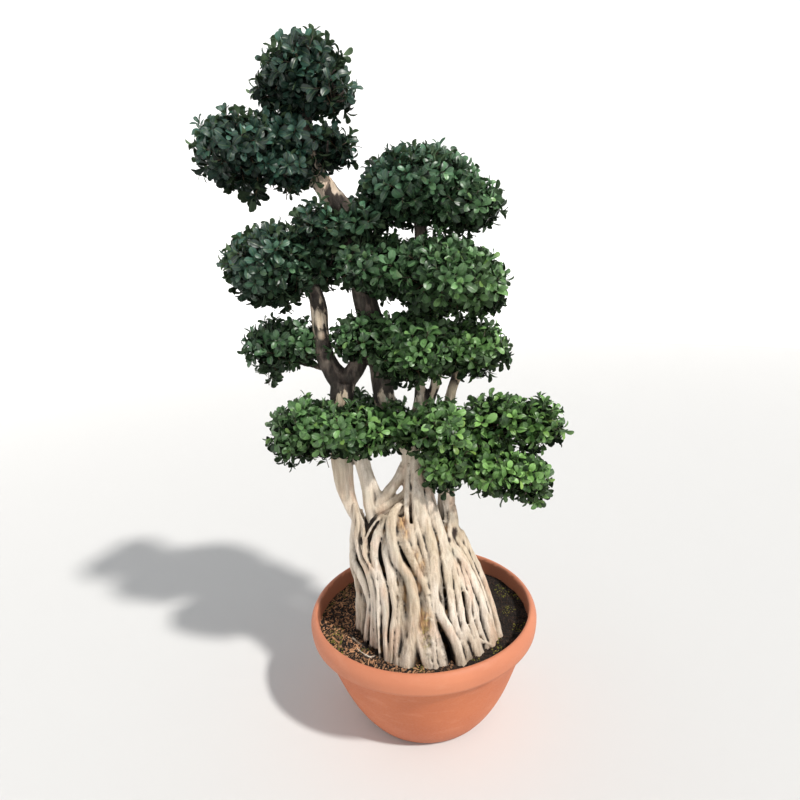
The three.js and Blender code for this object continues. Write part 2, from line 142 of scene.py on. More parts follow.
def bake_modifiers(piece):
    """The piece with its modifiers turned into plain mesh."""
    depsgraph = bpy.context.evaluated_depsgraph_get()
    data = bpy.data.meshes.new_from_object(piece.evaluated_get(depsgraph))
    piece.modifiers.clear()
    piece.data = data
    return piece


def read_points(piece, what="co"):
    """The places or normals of a piece's points, one row each."""
    numbers = np.empty(len(piece.data.vertices) * 3)
    piece.data.vertices.foreach_get(what, numbers)
    return numbers.reshape(-1, 3)


def finish_piece(piece, slot, *nodes, paint=None):
    if paint:
        piece.data.materials.clear()
        piece.data.materials.append(paint.material)
    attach(piece, "root")
    if nodes:
        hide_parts(*nodes)
    triangles = sum(len(p.vertices) - 2 for p in piece.data.polygons)
    print(piece.name, triangles, "triangles")

# %% [markdown]
# ## Light and floor
# The sun stands high at the front right. A low, pale sky fills the shade. A softly glowing wall
# bends up all round the floor, so that it has no edge, as in a photo studio.

# %% Light and floor
FLOOR_REACH, WALL_BEND, WALL_TOP = 7.0, 3.0, 6.8
FLOOR_DROP = 0.0005
AROUND, BEND_STEPS = 72, 12
PALE = (0.68, 0.68, 0.68, 1)
WHITE = (1, 1, 1, 1)


def stage_piece(name, points, faces, glow=0.0):
    """A piece of the studio, matt and pale."""
    material = bpy.data.materials.new("pale_" + name)
    material.use_nodes = True
    sockets = material.node_tree.nodes["Principled BSDF"].inputs
    sockets["Base Color"].default_value = PALE
    sockets["Roughness"].default_value = 0.95
    sockets["Emission Color"].default_value = WHITE
    sockets["Emission Strength"].default_value = glow
    piece = make_mesh(name, points, faces)
    piece.data.materials.append(material)
    return piece


sweep = [(FLOOR_REACH, 0.0)]
for k in range(1, BEND_STEPS + 1):
    turn = math.pi / 2 * k / BEND_STEPS
    sweep.append((FLOOR_REACH + WALL_BEND * math.sin(turn), WALL_BEND * (1 - math.cos(turn))))
sweep.append((FLOOR_REACH + WALL_BEND, WALL_TOP))
points, faces = turned(sweep, AROUND)
points -= (0, 0, FLOOR_DROP)
stage_piece("floor", points[:AROUND], [range(AROUND)])
wall = stage_piece("wall", points, [face[::-1] for face in faces], glow=0.45)
wall.visible_shadow = False  # The sun shines in over it from every side

sun = bpy.data.objects.new("sun", bpy.data.lights.new("sun", "SUN"))
sun.data.energy = 3.25
sun.data.angle = math.radians(4)
sun.data.color = (1.0, 0.97, 0.92)
sun_from = Vector((0.82, -0.78, 1.25))
sun.rotation_euler = sun_from.to_track_quat("Z", "Y").to_euler()
bpy.context.collection.objects.link(sun)

world = bpy.data.worlds.new("sky")
bpy.context.scene.world = world
world.use_nodes = True
sky = world.node_tree.nodes["Background"].inputs
sky["Color"].default_value = (0.90, 0.95, 1.0, 1)
sky["Strength"].default_value = 0.30
bpy.context.scene.view_settings.view_transform = "Standard"
print("sun and sky set")

# %% [markdown]
# ## Driving lists
# These repeat the part's source: the skirt of roots, the thick roots traced on its front, the
# stems, the lobes of every pad and the pot's measures. The thin roots were traced for this
# notebook. A root's course is in degrees round the skirt and height.

# %% Driving lists
# Height, the middle's place in X and Y, and half the width across and in depth
SKIRT = [
    [240, 15, -55, 212, 190],
    [290, 15, -55, 207, 185],
    [450, 0, -60, 183, 140],
    [560, -32, -65, 170, 112],
    [650, -45, -65, 142, 90],
    [740, -50, -60, 140, 75],
    [820, -50, -55, 140, 70],
]
# Thick roots: radius at the top and at the foot, then the course
FRONT_ROOTS = [
    [14, 13, [[-158, 714], [-172, 655], [-177, 605], [-164, 560], [-151, 520], [-149, 450], [-155, 360],
              [-160, 300]]],
    [13, 10, [[-152, 684], [-160, 630], [-148, 590], [-137, 540], [-140, 460], [-145, 370],
              [-147, 300]]],
    [12, 9, [[-142, 650], [-134, 590], [-127, 530], [-131, 460], [-136, 380], [-135, 300]]],
    [11, 12, [[-113, 695], [-123, 652], [-126, 600], [-121, 520], [-126, 440], [-129, 370],
              [-129, 300]]],
    [12, 11, [[-108, 690], [-112, 620], [-111, 540], [-115, 456], [-120, 388], [-124, 300]]],
    [20, 22, [[-98, 722], [-103, 660], [-101, 600], [-94, 550], [-97, 480], [-103, 390], [-110, 300]]],
    [10, 12, [[-102, 540], [-110, 460], [-115, 390], [-118, 300]]],
    [12, 13, [[-99, 440], [-97, 380], [-93, 300]]],
    [9, 9, [[-84, 700], [-82, 630], [-86, 540], [-89, 450], [-91, 370], [-88, 300]]],
    [11, 9, [[-74, 700], [-72, 610], [-76, 540], [-81, 470], [-84, 400], [-82, 300]]],
    [17, 19, [[-68, 760], [-63, 690], [-61, 620], [-68, 550], [-76, 490], [-75, 430], [-69, 360],
              [-68, 300]]],
    [15, 13, [[-56, 750], [-47, 690], [-46, 620], [-54, 550], [-62, 480], [-66, 410], [-60, 300]]],
    [13, 13, [[-42, 610], [-48, 530], [-56, 460], [-58, 400], [-53, 300]]],
    [11, 11, [[-36, 620], [-42, 540], [-44, 470], [-49, 410], [-47, 300]]],
    [11, 10, [[-34, 550], [-39, 480], [-42, 400], [-40, 300]]],
    [17, 15, [[-32, 620], [-27, 550], [-28, 470], [-29, 400], [-34, 300]]],
    [15, 15, [[-20, 620], [-17, 550], [-19, 470], [-22, 390], [-27, 300]]],
    [19, 20, [[-12, 650], [-7, 580], [-4, 510], [-6, 430], [-12, 350], [-17, 300]]],
]
# Thin roots: radius, whether it runs over the thick ones, then its course
THIN_ROOTS = [
    [6, 0, [[-168, 713], [-180, 645], [-181, 607], [-178, 560], [-172, 500]]],
    [7, 0, [[-154, 671], [-159, 618], [-149, 589], [-138, 570], [-130, 548], [-132, 501], [-138, 437],
              [-141, 300]]],
    [6, 0, [[-180, 635], [-179, 597], [-165, 572], [-149, 543], [-145, 503], [-151, 422], [-156, 300]]],
    [5, 1, [[-144, 628], [-138, 599], [-131, 578], [-125, 555], [-127, 505], [-133, 442], [-134, 290]]],
    [6, 0, [[-127, 649], [-129, 626], [-124, 594], [-122, 552], [-126, 500]]],
    [5, 1, [[-109, 724], [-121, 697], [-133, 657], [-138, 631], [-135, 598], [-128, 571]]],
    [5, 1, [[-106, 722], [-112, 692], [-122, 656], [-128, 635]]],
    [8, 0, [[-114, 669], [-110, 619], [-108, 577], [-113, 511], [-116, 453], [-118, 300]]],
    [7, 0, [[-108, 682], [-106, 627], [-106, 577], [-108, 534], [-106, 491], [-109, 454], [-112, 300]]],
    [4, 1, [[-80, 690], [-77, 657], [-81, 625], [-78, 573], [-82, 510], [-85, 455], [-88, 370]]],
    [8, 0, [[-75, 703], [-66, 661], [-70, 634], [-72, 600], [-74, 540]]],
    [6, 0, [[-87, 591], [-86, 544], [-88, 490], [-91, 456], [-92, 300]]],
    [5, 0, [[-82, 583], [-81, 542], [-84, 489], [-86, 455], [-86, 300]]],
    [4, 1, [[-74, 590], [-78, 538], [-83, 475], [-84, 439], [-85, 400]]],
    [4, 1, [[-81, 459], [-85, 412], [-87, 358], [-88, 290]]],
    [5, 0, [[-83, 430], [-81, 389], [-79, 351], [-78, 290]]],
    [5, 0, [[-83, 401], [-85, 333], [-86, 290]]],
    [12, 0, [[-90, 531], [-99, 445], [-99, 383], [-96, 330], [-94, 290]]],
    [6, 0, [[-62, 562], [-68, 500], [-72, 459], [-76, 400]]],
    [6, 1, [[-48, 540], [-54, 485], [-57, 425], [-60, 384], [-63, 300]]],
    [6, 1, [[-42, 555], [-47, 493], [-47, 459], [-51, 418], [-50, 300]]],
    [6, 0, [[-41, 470], [-46, 412], [-50, 359], [-52, 290]]],
    [6, 0, [[-38, 464], [-37, 414], [-43, 363], [-44, 290]]],
    [5, 1, [[-51, 358], [-44, 330], [-36, 304], [-34, 285]]],
    [10, 0, [[-102, 470], [-99, 430], [-97, 385], [-95, 345], [-92, 310], [-91, 270]]],
    [15, 0, [[-93, 712], [-91, 660], [-87, 610], [-83, 560], [-82, 500]]],
    [10, 0, [[-81, 690], [-80, 640], [-77, 590], [-78, 520]]],
]
# Radii along the stem, then places
STEMS = [
    # Outer and inner left stems, which fuse above the lowest pad
    [[24, 18, 24, 29, 30, 30, 33],
      [[-150, -62, 610], [-182, -62, 695], [-204, -58, 775], [-211, -52, 850], [-208, -42, 930],
         [-201, -32, 1015], [-188, -25, 1078]]],
    [[22, 18, 19, 20, 18],
      [[-122, -72, 620], [-135, -68, 700], [-141, -63, 787], [-152, -55, 860], [-190, -42, 930]]],
    # Arms between the inner left stem and the middle stem
    [[8, 7, 8], [[-136, -62, 850], [-122, -68, 800], [-108, -75, 742]]],
    [[17, 16, 15], [[-22, -60, 835], [-66, -70, 775], [-122, -74, 712]]],
    [[10, 10, 11], [[-18, -72, 770], [-66, -86, 735], [-118, -86, 706]]],
    # Diagonal root over the hollow
    [[10, 11, 10, 9], [[-8, -88, 765], [-40, -112, 722], [-92, -112, 690], [-128, -100, 640]]],
    # Middle stem, which becomes the leaning main trunk up to the apex
    [[40, 34, 26, 27, 29, 30, 31, 31, 30, 28, 27, 24, 19, 12],
      [[-12, -62, 620], [-12, -62, 735], [-6, -58, 810], [-14, -52, 880], [-48, -42, 950],
              [-74, -30, 1020],
         [-76, -16, 1110], [-92, -4, 1210], [-112, 4, 1310], [-128, 4, 1420], [-146, 2, 1530],
         [-192, 0, 1592], [-228, 0, 1660], [-226, 0, 1845]]],
    # Fork of the left stem, its left arm into the middle left pad and its right arm to the trunk
    [[30, 25, 24, 22, 21, 18, 11],
      [[-188, -25, 1070], [-222, -20, 1122], [-236, -15, 1165], [-240, -12, 1225], [-240, -10, 1285],
         [-252, -8, 1345], [-300, -8, 1405]]],
    [[28, 24, 21, 18], [[-188, -25, 1070], [-150, -18, 1115], [-124, -8, 1170], [-104, 0, 1245]]],
    # Right hand stem of the fork above the middle stem, up to the upper right pad
    [[22, 18, 17, 18, 21, 18, 15, 11],
      [[-10, -56, 865], [10, -50, 935], [21, -46, 1007], [28, -42, 1100], [36, -40, 1210],
         [44, -36, 1310], [50, -24, 1440], [54, -12, 1575]]],
    [[15, 14, 13, 9], [[8, -50, 925], [42, -46, 990], [60, -44, 1040], [92, -42, 1140]]],
    # Right stem
    [[34, 28, 26, 22, 18, 15, 13, 9],
      [[92, -64, 560], [86, -62, 650], [87, -60, 725], [90, -56, 810], [97, -50, 910], [109, -46, 1020],
         [126, -43, 1075], [162, -40, 1145]]],
    # Branches that carry the pads
    [[16, 14, 11], [[-205, 0, 1610], [-290, 0, 1632], [-352, -14, 1662]]],
    [[13, 11, 8], [[-136, 4, 1450], [-131, 60, 1484], [-130, 112, 1508]]],
    [[11, 9, 7], [[-212, -20, 1112], [-275, -4, 1130], [-346, 18, 1150]]],
    [[12, 10, 8], [[-206, -42, 925], [-196, 20, 940], [-186, 76, 938]]],
    [[15, 13, 10], [[90, -56, 800], [150, -58, 842], [206, -48, 892]]],
    [[13, 11, 8], [[95, -58, 780], [150, -72, 800], [206, -86, 806]]],
]
# Lobes: the middle's place, then half the width, the depth and the height
PADS = {
    "pad_apex": [
      [-223, 0, 1858, 113, 125, 104], [-156, -48, 1812, 68, 82, 62], [-306, 28, 1840, 62, 86, 60]],
    "pad_upper_left": [
      [-396, -40, 1689, 118, 130, 101], [-298, 38, 1724, 95, 130, 78], [-194, 20, 1694, 98, 102, 64],
      [-278, -20, 1641, 82, 96, 57]],
    "pad_upper_right": [
      [56, 20, 1582, 165, 165, 109], [168, -48, 1528, 97, 120, 77], [-36, 58, 1582, 84, 120, 86]],
    "pad_behind": [
      [-134, 136, 1512, 84, 92, 76], [-104, 10, 1500, 76, 120, 62]],
    "pad_middle_left": [
      [-349, -40, 1401, 124, 140, 112], [-234, 38, 1424, 94, 140, 104], [-222, -45, 1501, 80, 86, 64]],
    "pad_middle_right": [
      [-41, 20, 1376, 127, 150, 92], [91, -78, 1349, 131, 150, 113], [198, -12, 1321, 84, 130, 98],
      [49, 108, 1376, 124, 110, 84], [-110, -66, 1388, 76, 76, 68]],
    "pad_lower_left": [
      [-374, 28, 1178, 95, 110, 85], [-290, 20, 1188, 72, 92, 68]],
    "pad_lower_right": [
      [-116, -12, 1194, 104, 114, 72], [17, -58, 1163, 123, 150, 107], [167, 0, 1144, 124, 140, 88]],
    "pad_low_left": [
      [-296, -58, 953, 114, 112, 94], [-176, -98, 953, 117, 125, 90], [-62, -72, 957, 80, 112, 80]],
    "pad_low_back": [
      [-178, 104, 938, 112, 96, 82]],
    "pad_low_middle": [
      [68, -108, 946, 92, 114, 85], [82, -112, 862, 78, 90, 106]],
    "pad_low_right": [
      [249, -30, 941, 114, 110, 76], [343, -50, 926, 86, 90, 84], [194, -52, 874, 74, 90, 86],
      [226, -90, 808, 100, 100, 76], [316, -82, 780, 80, 86, 76]],
}
RIM_RADIUS = 350
POT_HEIGHT = 356
RIM_BAND = 63
BASE_RADIUS = 195
NECK_RADIUS = 333
BELLY = (276, 284)
WALL = 7
FLOOR = 6
SOIL_LEVEL = 300
SOIL_MOUND = 7
SOIL_BUMP = 2.5
ROOT_END = 258
print(len(FRONT_ROOTS), "thick roots,", len(STEMS), "stems,", len(PADS), "pads")

# %% [markdown]
# ## Curve helpers
# Stems, roots, twigs and stalks are tubes along smooth curves. Noise then roughens them.

# %% Curve helpers
def smooth_path(points, spacing):
    """Points along a centripetal Catmull-Rom curve, evenly spaced."""
    p = np.asarray(points, float)
    p = np.vstack([2 * p[0] - p[1], p, 2 * p[-1] - p[-2]])
    fine = []
    for i in range(1, len(p) - 2):
        knots = [0.0]
        for k in range(i - 1, i + 2):
            knots.append(knots[-1] + np.linalg.norm(p[k + 1] - p[k]) ** 0.5)
        t = np.linspace(knots[1], knots[2], 17)[:-1, None]

        def between(a, b, start, end):
            return ((end - t) * a + (t - start) * b) / (end - start)

        a1 = between(p[i - 1], p[i], knots[0], knots[1])
        a2 = between(p[i], p[i + 1], knots[1], knots[2])
        a3 = between(p[i + 1], p[i + 2], knots[2], knots[3])
        b1 = between(a1, a2, knots[0], knots[2])
        b2 = between(a2, a3, knots[1], knots[3])
        fine.append(between(b1, b2, knots[1], knots[2]))
    fine = np.vstack([*fine, p[-2]])
    lengths = np.concatenate([[0], np.cumsum(np.linalg.norm(np.diff(fine, axis=0), axis=1))])
    count = max(3, round(lengths[-1] / spacing) + 1)
    wanted = np.linspace(0, lengths[-1], count)
    return np.stack([np.interp(wanted, lengths, fine[:, axis]) for axis in range(3)], axis=1)


def tube(points, radii, sides, spacing, attributes, oval=0.0, lobes=0.0, phase=0.0):
    """A closed tube along a path. Its radius follows the list. Oval flattens it in turns, and
    lobes give it the three and five ribs of grown-together strands."""
    path = smooth_path(points, spacing)
    share = np.linspace(0, 1, len(path))
    radius = np.interp(share, np.linspace(0, 1, len(radii)), radii)
    tangent = np.gradient(path, axis=0)
    tangent /= np.linalg.norm(tangent, axis=1)[:, None]
    normal = np.cross(tangent[0], (0.31, 0.87, 0.21))
    angles = np.linspace(0, 2 * math.pi, sides, endpoint=False)
    rings = []
    for i, (place, along) in enumerate(zip(path, tangent)):
        normal = normal - along * np.dot(normal, along)
        normal /= np.linalg.norm(normal)
        across = np.cross(along, normal)
        swell = 1 + oval * np.cos(2 * angles + 5 * share[i] + phase)
        swell += lobes * np.cos(3 * angles - 3 * share[i] + 2 * phase)
        swell += 0.7 * lobes * np.cos(5 * angles + 4 * share[i] + 3 * phase)
        ring = np.outer(np.cos(angles) * swell, normal) + np.outer(np.sin(angles) * swell, across)
        rings.append(place + radius[i] * ring)
    corners = np.vstack([*rings, path[0], path[-1]])
    faces = ring_faces(len(path), sides)
    last = (len(path) - 1) * sides
    for k in range(sides):
        following = (k + 1) % sides
        faces.append((following, k, len(corners) - 2))
        faces.append((last + k, last + following, len(corners) - 1))
    return corners, faces, attributes


def roughen(piece, layers):
    """Moves every point along its normal by noise: (size in mm, stretch along Z, depth in mm)."""
    place = read_points(piece)
    normal = read_points(piece, "normal")
    move = np.zeros(len(place))
    for size, stretch, depth in layers:
        scaled = place / (size * MM)
        scaled[:, 2] /= stretch
        move += depth * MM * np.array([noise.noise(Vector(p)) for p in scaled])
    piece.data.vertices.foreach_set("co", (place + normal * move[:, None]).ravel())
    piece.data.update()


# %% [markdown]
# ## Materials
# Every material is procedural. A short helper adds a node and joins its inputs, so that each
# recipe reads from top to bottom.

# %% Material helpers
def add_node(tree, kind, settings=None, **inputs):
    """A new node. An input goes by its name, with _ for a space, or by _ and its number."""
    made = tree.nodes.new(kind)
    for key, value in (settings or {}).items():
        setattr(made, key, value)
    for key, value in inputs.items():
        set_socket(tree, made.inputs[int(key[1:]) if key[0] == "_" else key.replace("_", " ")], value)
    return made


def set_socket(tree, socket, value):
    if isinstance(value, bpy.types.NodeSocket):
        tree.links.new(value, socket)
    else:
        socket.default_value = value


def rgb(value):
    """A colour as it looks on screen, such as "b5603f", in the linear numbers that nodes take."""
    if not isinstance(value, str):
        return value
    shares = [int(value[i:i + 2], 16) / 255 for i in (0, 2, 4)]
    return (*[v / 12.92 if v < 0.04045 else ((v + 0.055) / 1.055) ** 2.4 for v in shares], 1)


class Recipe:
    """Adds nodes to one new material. Inputs are numbers, colours or other nodes' outputs."""

    def __init__(self, name):
        self.material = bpy.data.materials.new(name)
        self.material.use_nodes = True
        self.tree = self.material.node_tree
        self.shader = self.tree.nodes["Principled BSDF"]
        self.place = self.node("ShaderNodeTexCoord").outputs["Object"]

    def node(self, kind, settings=None, **inputs):
        return add_node(self.tree, kind, settings, **inputs)

    def axes(self):
        return self.node("ShaderNodeSeparateXYZ", Vector=self.place).outputs

    def attribute(self, name):
        return self.node("ShaderNodeAttribute", {"attribute_name": name}).outputs["Fac"]

    def math(self, operation, a, b=0.0):
        return self.node("ShaderNodeMath", {"operation": operation}, _0=a, _1=b).outputs[0]

    def times(self, a, b):
        return self.math("MULTIPLY", a, b)

    def plus(self, a, b):
        return self.math("ADD", a, b)

    def ramp(self, value, low, high):
        """From 0 at low to 1 at high."""
        return self.node("ShaderNodeMapRange", {"clamp": True}, Value=value, From_Min=low,
                         From_Max=high).outputs[0]

    def noise(self, scale, detail, upward=1):
        """Cloudy noise. Upward under 1 draws it out along Z."""
        place = self.node("ShaderNodeMapping", Vector=self.place, Scale=(1, 1, upward)).outputs[0]
        return self.node("ShaderNodeTexNoise", Vector=place, Scale=scale, Detail=detail).outputs["Fac"]

    def patches(self, scale, detail, low, high, upward=1):
        return self.ramp(self.noise(scale, detail, upward), low, high)

    def mix(self, factor, first, second, share=None):
        """Two colours mixed by the factor, or by that share of it."""
        if share is not None:
            factor = self.times(factor, share)
        settings = {"data_type": "RGBA", "blend_type": "MIX"}
        return self.node("ShaderNodeMix", settings, _0=factor, _6=rgb(first), _7=rgb(second)).outputs[2]

    def finish(self, color, roughness, relief, depth, strength, specular=None):
        """Sets the shader. Depth is the relief's, in metres."""
        bump = self.node("ShaderNodeBump", Height=relief, Distance=depth, Strength=strength).outputs[0]
        for key, value in (("Base Color", color), ("Roughness", roughness), ("Normal", bump),
                           ("Specular IOR Level", specular)):
            if value is not None:
                set_socket(self.tree, self.shader.inputs[key], value)


# %% Pot and soil materials
RIM_PALE_FROM, RIM_PALE_FULL = 0.285, 0.30
pot = Recipe("moulded_terracotta_plastic")
height = pot.axes()[2]
fine = pot.noise(160, 3)
clay = pot.mix(pot.patches(5, 5, 0.35, 0.65), "ba6945", "c6744d")
clay = pot.mix(pot.patches(14, 6, 0.56, 0.78, 2.4), clay, "d99b7c", 0.3)
clay = pot.mix(pot.ramp(height, RIM_PALE_FROM, RIM_PALE_FULL), clay, "cf957c", 0.3)
# Painted shade on the pot's inner wall
clay = pot.mix(pot.attribute("inside"), clay, "4a2b1f", 0.45)
clay = pot.mix(pot.ramp(height, 0.05, 0.0), clay, "8f4e36", 0.35)
pot.finish(clay, pot.ramp(fine, -0.8, 1.5), fine, 0.0004, 0.5, specular=0.35)

soil = Recipe("bark_and_coir_mix")
mix = soil.mix(soil.patches(90, 8, 0.3, 0.7), "090706", "1e1510")
soil.finish(mix, 0.95, soil.noise(260, 6), 0.002, 0.9)

# The chips carry painted sunlight, pale at the left of the pot, and painted shade, dark at the right
chip = Recipe("bark_chips")
grain = chip.patches(300, 5, 0.3, 0.7)
pale = chip.ramp(chip.plus(chip.noise(9, 3), chip.times(chip.axes()[0], 1.3)), 0.60, 0.40)
chips = chip.mix(pale, "35241a", "c8966f")
chips = chip.mix(chip.ramp(chip.attribute("tint"), 0.1, 0.75), "1c130d", chips)
chips = chip.mix(grain, chips, chip.mix(pale, "33241b", "96704f"), 0.25)
chip.finish(chips, 0.9, grain, 0.001, 0.6)

moss = Recipe("moss")
moss.finish(moss.mix(moss.patches(120, 5, 0.35, 0.65), "3a3d18", "8a8437"),
            0.95, moss.noise(700, 3), 0.001, 0.9)
print("pot, soil, chips and moss ready")

# %% [markdown]
# The bark is pale cream on the aerial roots and dark grey on the stems higher up, partly its own
# colour and partly painted shade under the pads, with pale places that are partly flaked bark and
# partly painted sunlight. Grooves between the roots are nearly black with painted shade, and here
# and there they hold yellow-brown fibre. Small holes in the roots carry painted shade. Fine
# streaks run along the grain.

# %% Bark material
bark = Recipe("fig_bark")
grey = bark.patches(23, 5, 0.54, 0.68, 0.7)
streaks = bark.patches(120, 6, 0.40, 0.66, 0.09)
flakes = bark.patches(48, 7, 0.46, 0.60, 0.45)
cream = bark.mix(bark.patches(11, 5, 0.38, 0.62, 0.4), "d2c1a9", "e9ddce")
cream = bark.mix(bark.patches(17, 4, 0.52, 0.66, 0.5), cream, "d6ac90", 0.45)
cream = bark.mix(grey, cream, "bcb6a4", 0.45)
cream = bark.mix(streaks, cream, "94775a", 0.38)
# The dark bark higher up: partly its own colour, partly painted shade under the pads
dark = bark.mix(flakes, "2b2521", "5b5049")
dark = bark.mix(grey, dark, "7d776b", 0.35)
# Pale where the pale mark is high: the cream lower wood, and spots of flaked bark and painted sunlight
edge = bark.plus(bark.attribute("pale"), bark.times(bark.math("SUBTRACT", flakes, 0.5), 0.55))
base = bark.mix(bark.ramp(edge, 0.38, 0.62), dark, cream)
base = bark.mix(bark.patches(420, 3, 0.5, 0.62), base, "5a4634", 0.16)
# Painted shade, nearly black, in the grooves and creases between roots and stems
deep = bark.mix(bark.patches(30, 5, 0.52, 0.66), "1a120d", "5e4526")
base = bark.mix(bark.attribute("groove"), base, deep)
fibres = bark.mix(bark.patches(150, 7, 0.42, 0.6, 0.12), "6b4a30", "c09a6c")
base = bark.mix(bark.attribute("hairy"), base, fibres, bark.patches(70, 5, 0.30, 0.48))
greens = bark.mix(bark.patches(90, 5, 0.45, 0.6), "3d3418", "8d8440")
base = bark.mix(bark.attribute("mossy"), base, greens, bark.patches(60, 5, 0.44, 0.60))
# Painted shade in small holes in the roots
base = bark.mix(bark.attribute("knot"), base, "2c1d17")
relief = bark.plus(bark.times(streaks, -1.0), bark.times(flakes, 0.35))
relief = bark.plus(relief, bark.times(bark.noise(500, 4), 0.4))
bark.finish(base, 0.85, relief, 0.0018, 0.9)
print("bark ready")

# %% [markdown]
# Leaves are thick, waxy and dark on top, with a paler midrib and a matte, lighter back. The top
# of the tree is the darkest and bluest. The lowest pads are the brightest, and painted sunlight
# makes those on the right brighter still. Leaves inside a pad and under it are nearly black with
# painted shade.

# %% Leaf material
WAXY, MATTE = (0.40, 0.40, 0.40, 1), (0.65, 0.65, 0.65, 1)
leaf = Recipe("fig_leaf")
tint, own, shade, wood, across = map(leaf.attribute, ("tint", "own", "shade", "wood", "across"))
side, _, height = leaf.axes()
# Brighter towards the bottom of the tree, and towards the right with painted sunlight
low = leaf.ramp(leaf.plus(height, leaf.times(side, -0.7)), 1.72, 0.88)
old = leaf.mix(low, "11241b", "22461b")
young = leaf.mix(low, "467262", "98cc70")
mood = leaf.plus(leaf.times(tint, 0.45), leaf.times(own, 0.55))
front = leaf.mix(leaf.times(mood, mood), old, young)
front = leaf.mix(leaf.ramp(own, 0.9, 1.0), front, "7fa046", leaf.times(low, 0.8))
rib = leaf.ramp(leaf.math("ABSOLUTE", across), 0.045, 0.0)
front = leaf.mix(rib, front, "7f9a62", 0.28)
facing = leaf.node("ShaderNodeNewGeometry").outputs["Backfacing"]
blade = leaf.mix(facing, front, leaf.mix(mood, "3c5138", "66805a"))
blade = leaf.mix(shade, blade, "060b07", 0.88)
blade = leaf.mix(wood, blade, "4b3c2c")
gloss = leaf.math("SUBTRACT", 0.62, leaf.times(shade, 0.55))
leaf.finish(blade, leaf.mix(facing, WAXY, MATTE), leaf.times(rib, -1.0), 0.0008, 0.6, specular=gloss)
print("leaf ready")

# %% [markdown]
# ## Pot
# The same profile as the part's, turned in fine steps, with the rim rolled over.

# %% Pot
TURNS = 160
neck = POT_HEIGHT - RIM_BAND


def body_radius(height):
    t = height / neck
    s = 1 - t
    return s**3 * BASE_RADIUS + 3 * s * s * t * BELLY[0] + 3 * s * t * t * BELLY[1] + t**3 * NECK_RADIUS


foot = [(0, 3), (BASE_RADIUS - 22, 3), (BASE_RADIUS - 18, 0), (BASE_RADIUS - 5, 0), (BASE_RADIUS - 1, 3)]
outside = [(body_radius(h), h) for h in np.linspace(9, neck - 5, 34)]
# The rim's places are inward from the widest radius, and up from the neck
rim = [(RIM_RADIUS - inward, neck + up) for inward, up in (
    (18, -1), (14, 0.5), (7, 0.8), (3, 4), (1.5, 12), (0.4, 24), (0, 34), (1.6, 42), (4.6, 50),
    (8.6, 57), (13, 61), (17, 62.8), (20.5, 61.6), (23, 57.5), (24.4, 50))]
inside = [(body_radius(h) - WALL, h) for h in np.linspace(neck, FLOOR, 24)]
points, faces = turned([*foot, *outside, *rim, *inside, (0, FLOOR)], TURNS)
pot_piece = make_mesh("bowl_pot", points * MM, faces)
shaper = bmesh.new()
shaper.from_mesh(pot_piece.data)
bmesh.ops.remove_doubles(shaper, verts=shaper.verts, dist=1e-6)
shaper.to_mesh(pot_piece.data)
shaper.free()
pot_piece.data.shade_smooth()
x, y, z = read_points(pot_piece).T / MM
width = np.hypot(x, y)
# The pot's inner wall, which the material darkens with painted shade
inner_wall_shade = (width < NECK_RADIUS - 6) & (z > FLOOR + 2) & (width < body_radius(z) - WALL / 2)
add_attribute(pot_piece.data, "inside", inner_wall_shade.astype(float))
finish_piece(pot_piece, POT_SLOT, "pot", paint=pot)

# %% [markdown]
# ## Soil
# A low mound with small lumps. Bark chips and moss lie on it, scattered by geometry nodes.

# %% Soil surface
RINGS, SPOKES = 64, 180


def soil_height(x, y):
    away = np.hypot(x - SKIRT[1][1], y - SKIRT[1][2]) / RIM_RADIUS
    lumps = np.sin(x / 31) * np.cos(y / 27) + 0.6 * np.sin((x + 2 * y) / 19)
    return SOIL_LEVEL + SOIL_MOUND * np.exp(-3 * away * away) + SOIL_BUMP * lumps


edge = body_radius(neck) - WALL - 0.8
points, faces = [(0, 0, float(soil_height(0, 0)))], []
for ring in range(1, RINGS + 1):
    for k in range(SPOKES):
        x = edge * ring / RINGS * math.cos(2 * math.pi * k / SPOKES)
        y = edge * ring / RINGS * math.sin(2 * math.pi * k / SPOKES)
        rough = 3.2 * noise.noise(Vector((x / 14, y / 14, 0)))
        rough += 1.8 * noise.noise(Vector((x / 5, y / 5, 3)))
        points.append((x, y, float(soil_height(x, y)) + rough * (ring < RINGS)))
for k in range(SPOKES):
    following = (k + 1) % SPOKES
    faces.append((0, 1 + k, 1 + following))
    for start in range(1, 1 + (RINGS - 1) * SPOKES, SPOKES):
        a, b = start + k, start + following
        faces.append((a, a + SPOKES, b + SPOKES, b))
soil_piece = make_mesh("potting_mix", np.array(points) * MM, faces)
finish_piece(soil_piece, SOIL_SLOT, "soil", paint=soil)

# %% [markdown]
# One tree of nodes scatters everything that repeats: it spreads points on a surface, puts a
# random one of several shapes on each, turns and sizes it, and keeps a random tint for it.

# %% Scatter nodes
FULLY_BARE = 0.06  # How far over the Patchy level the cloudy pattern leaves nothing bare


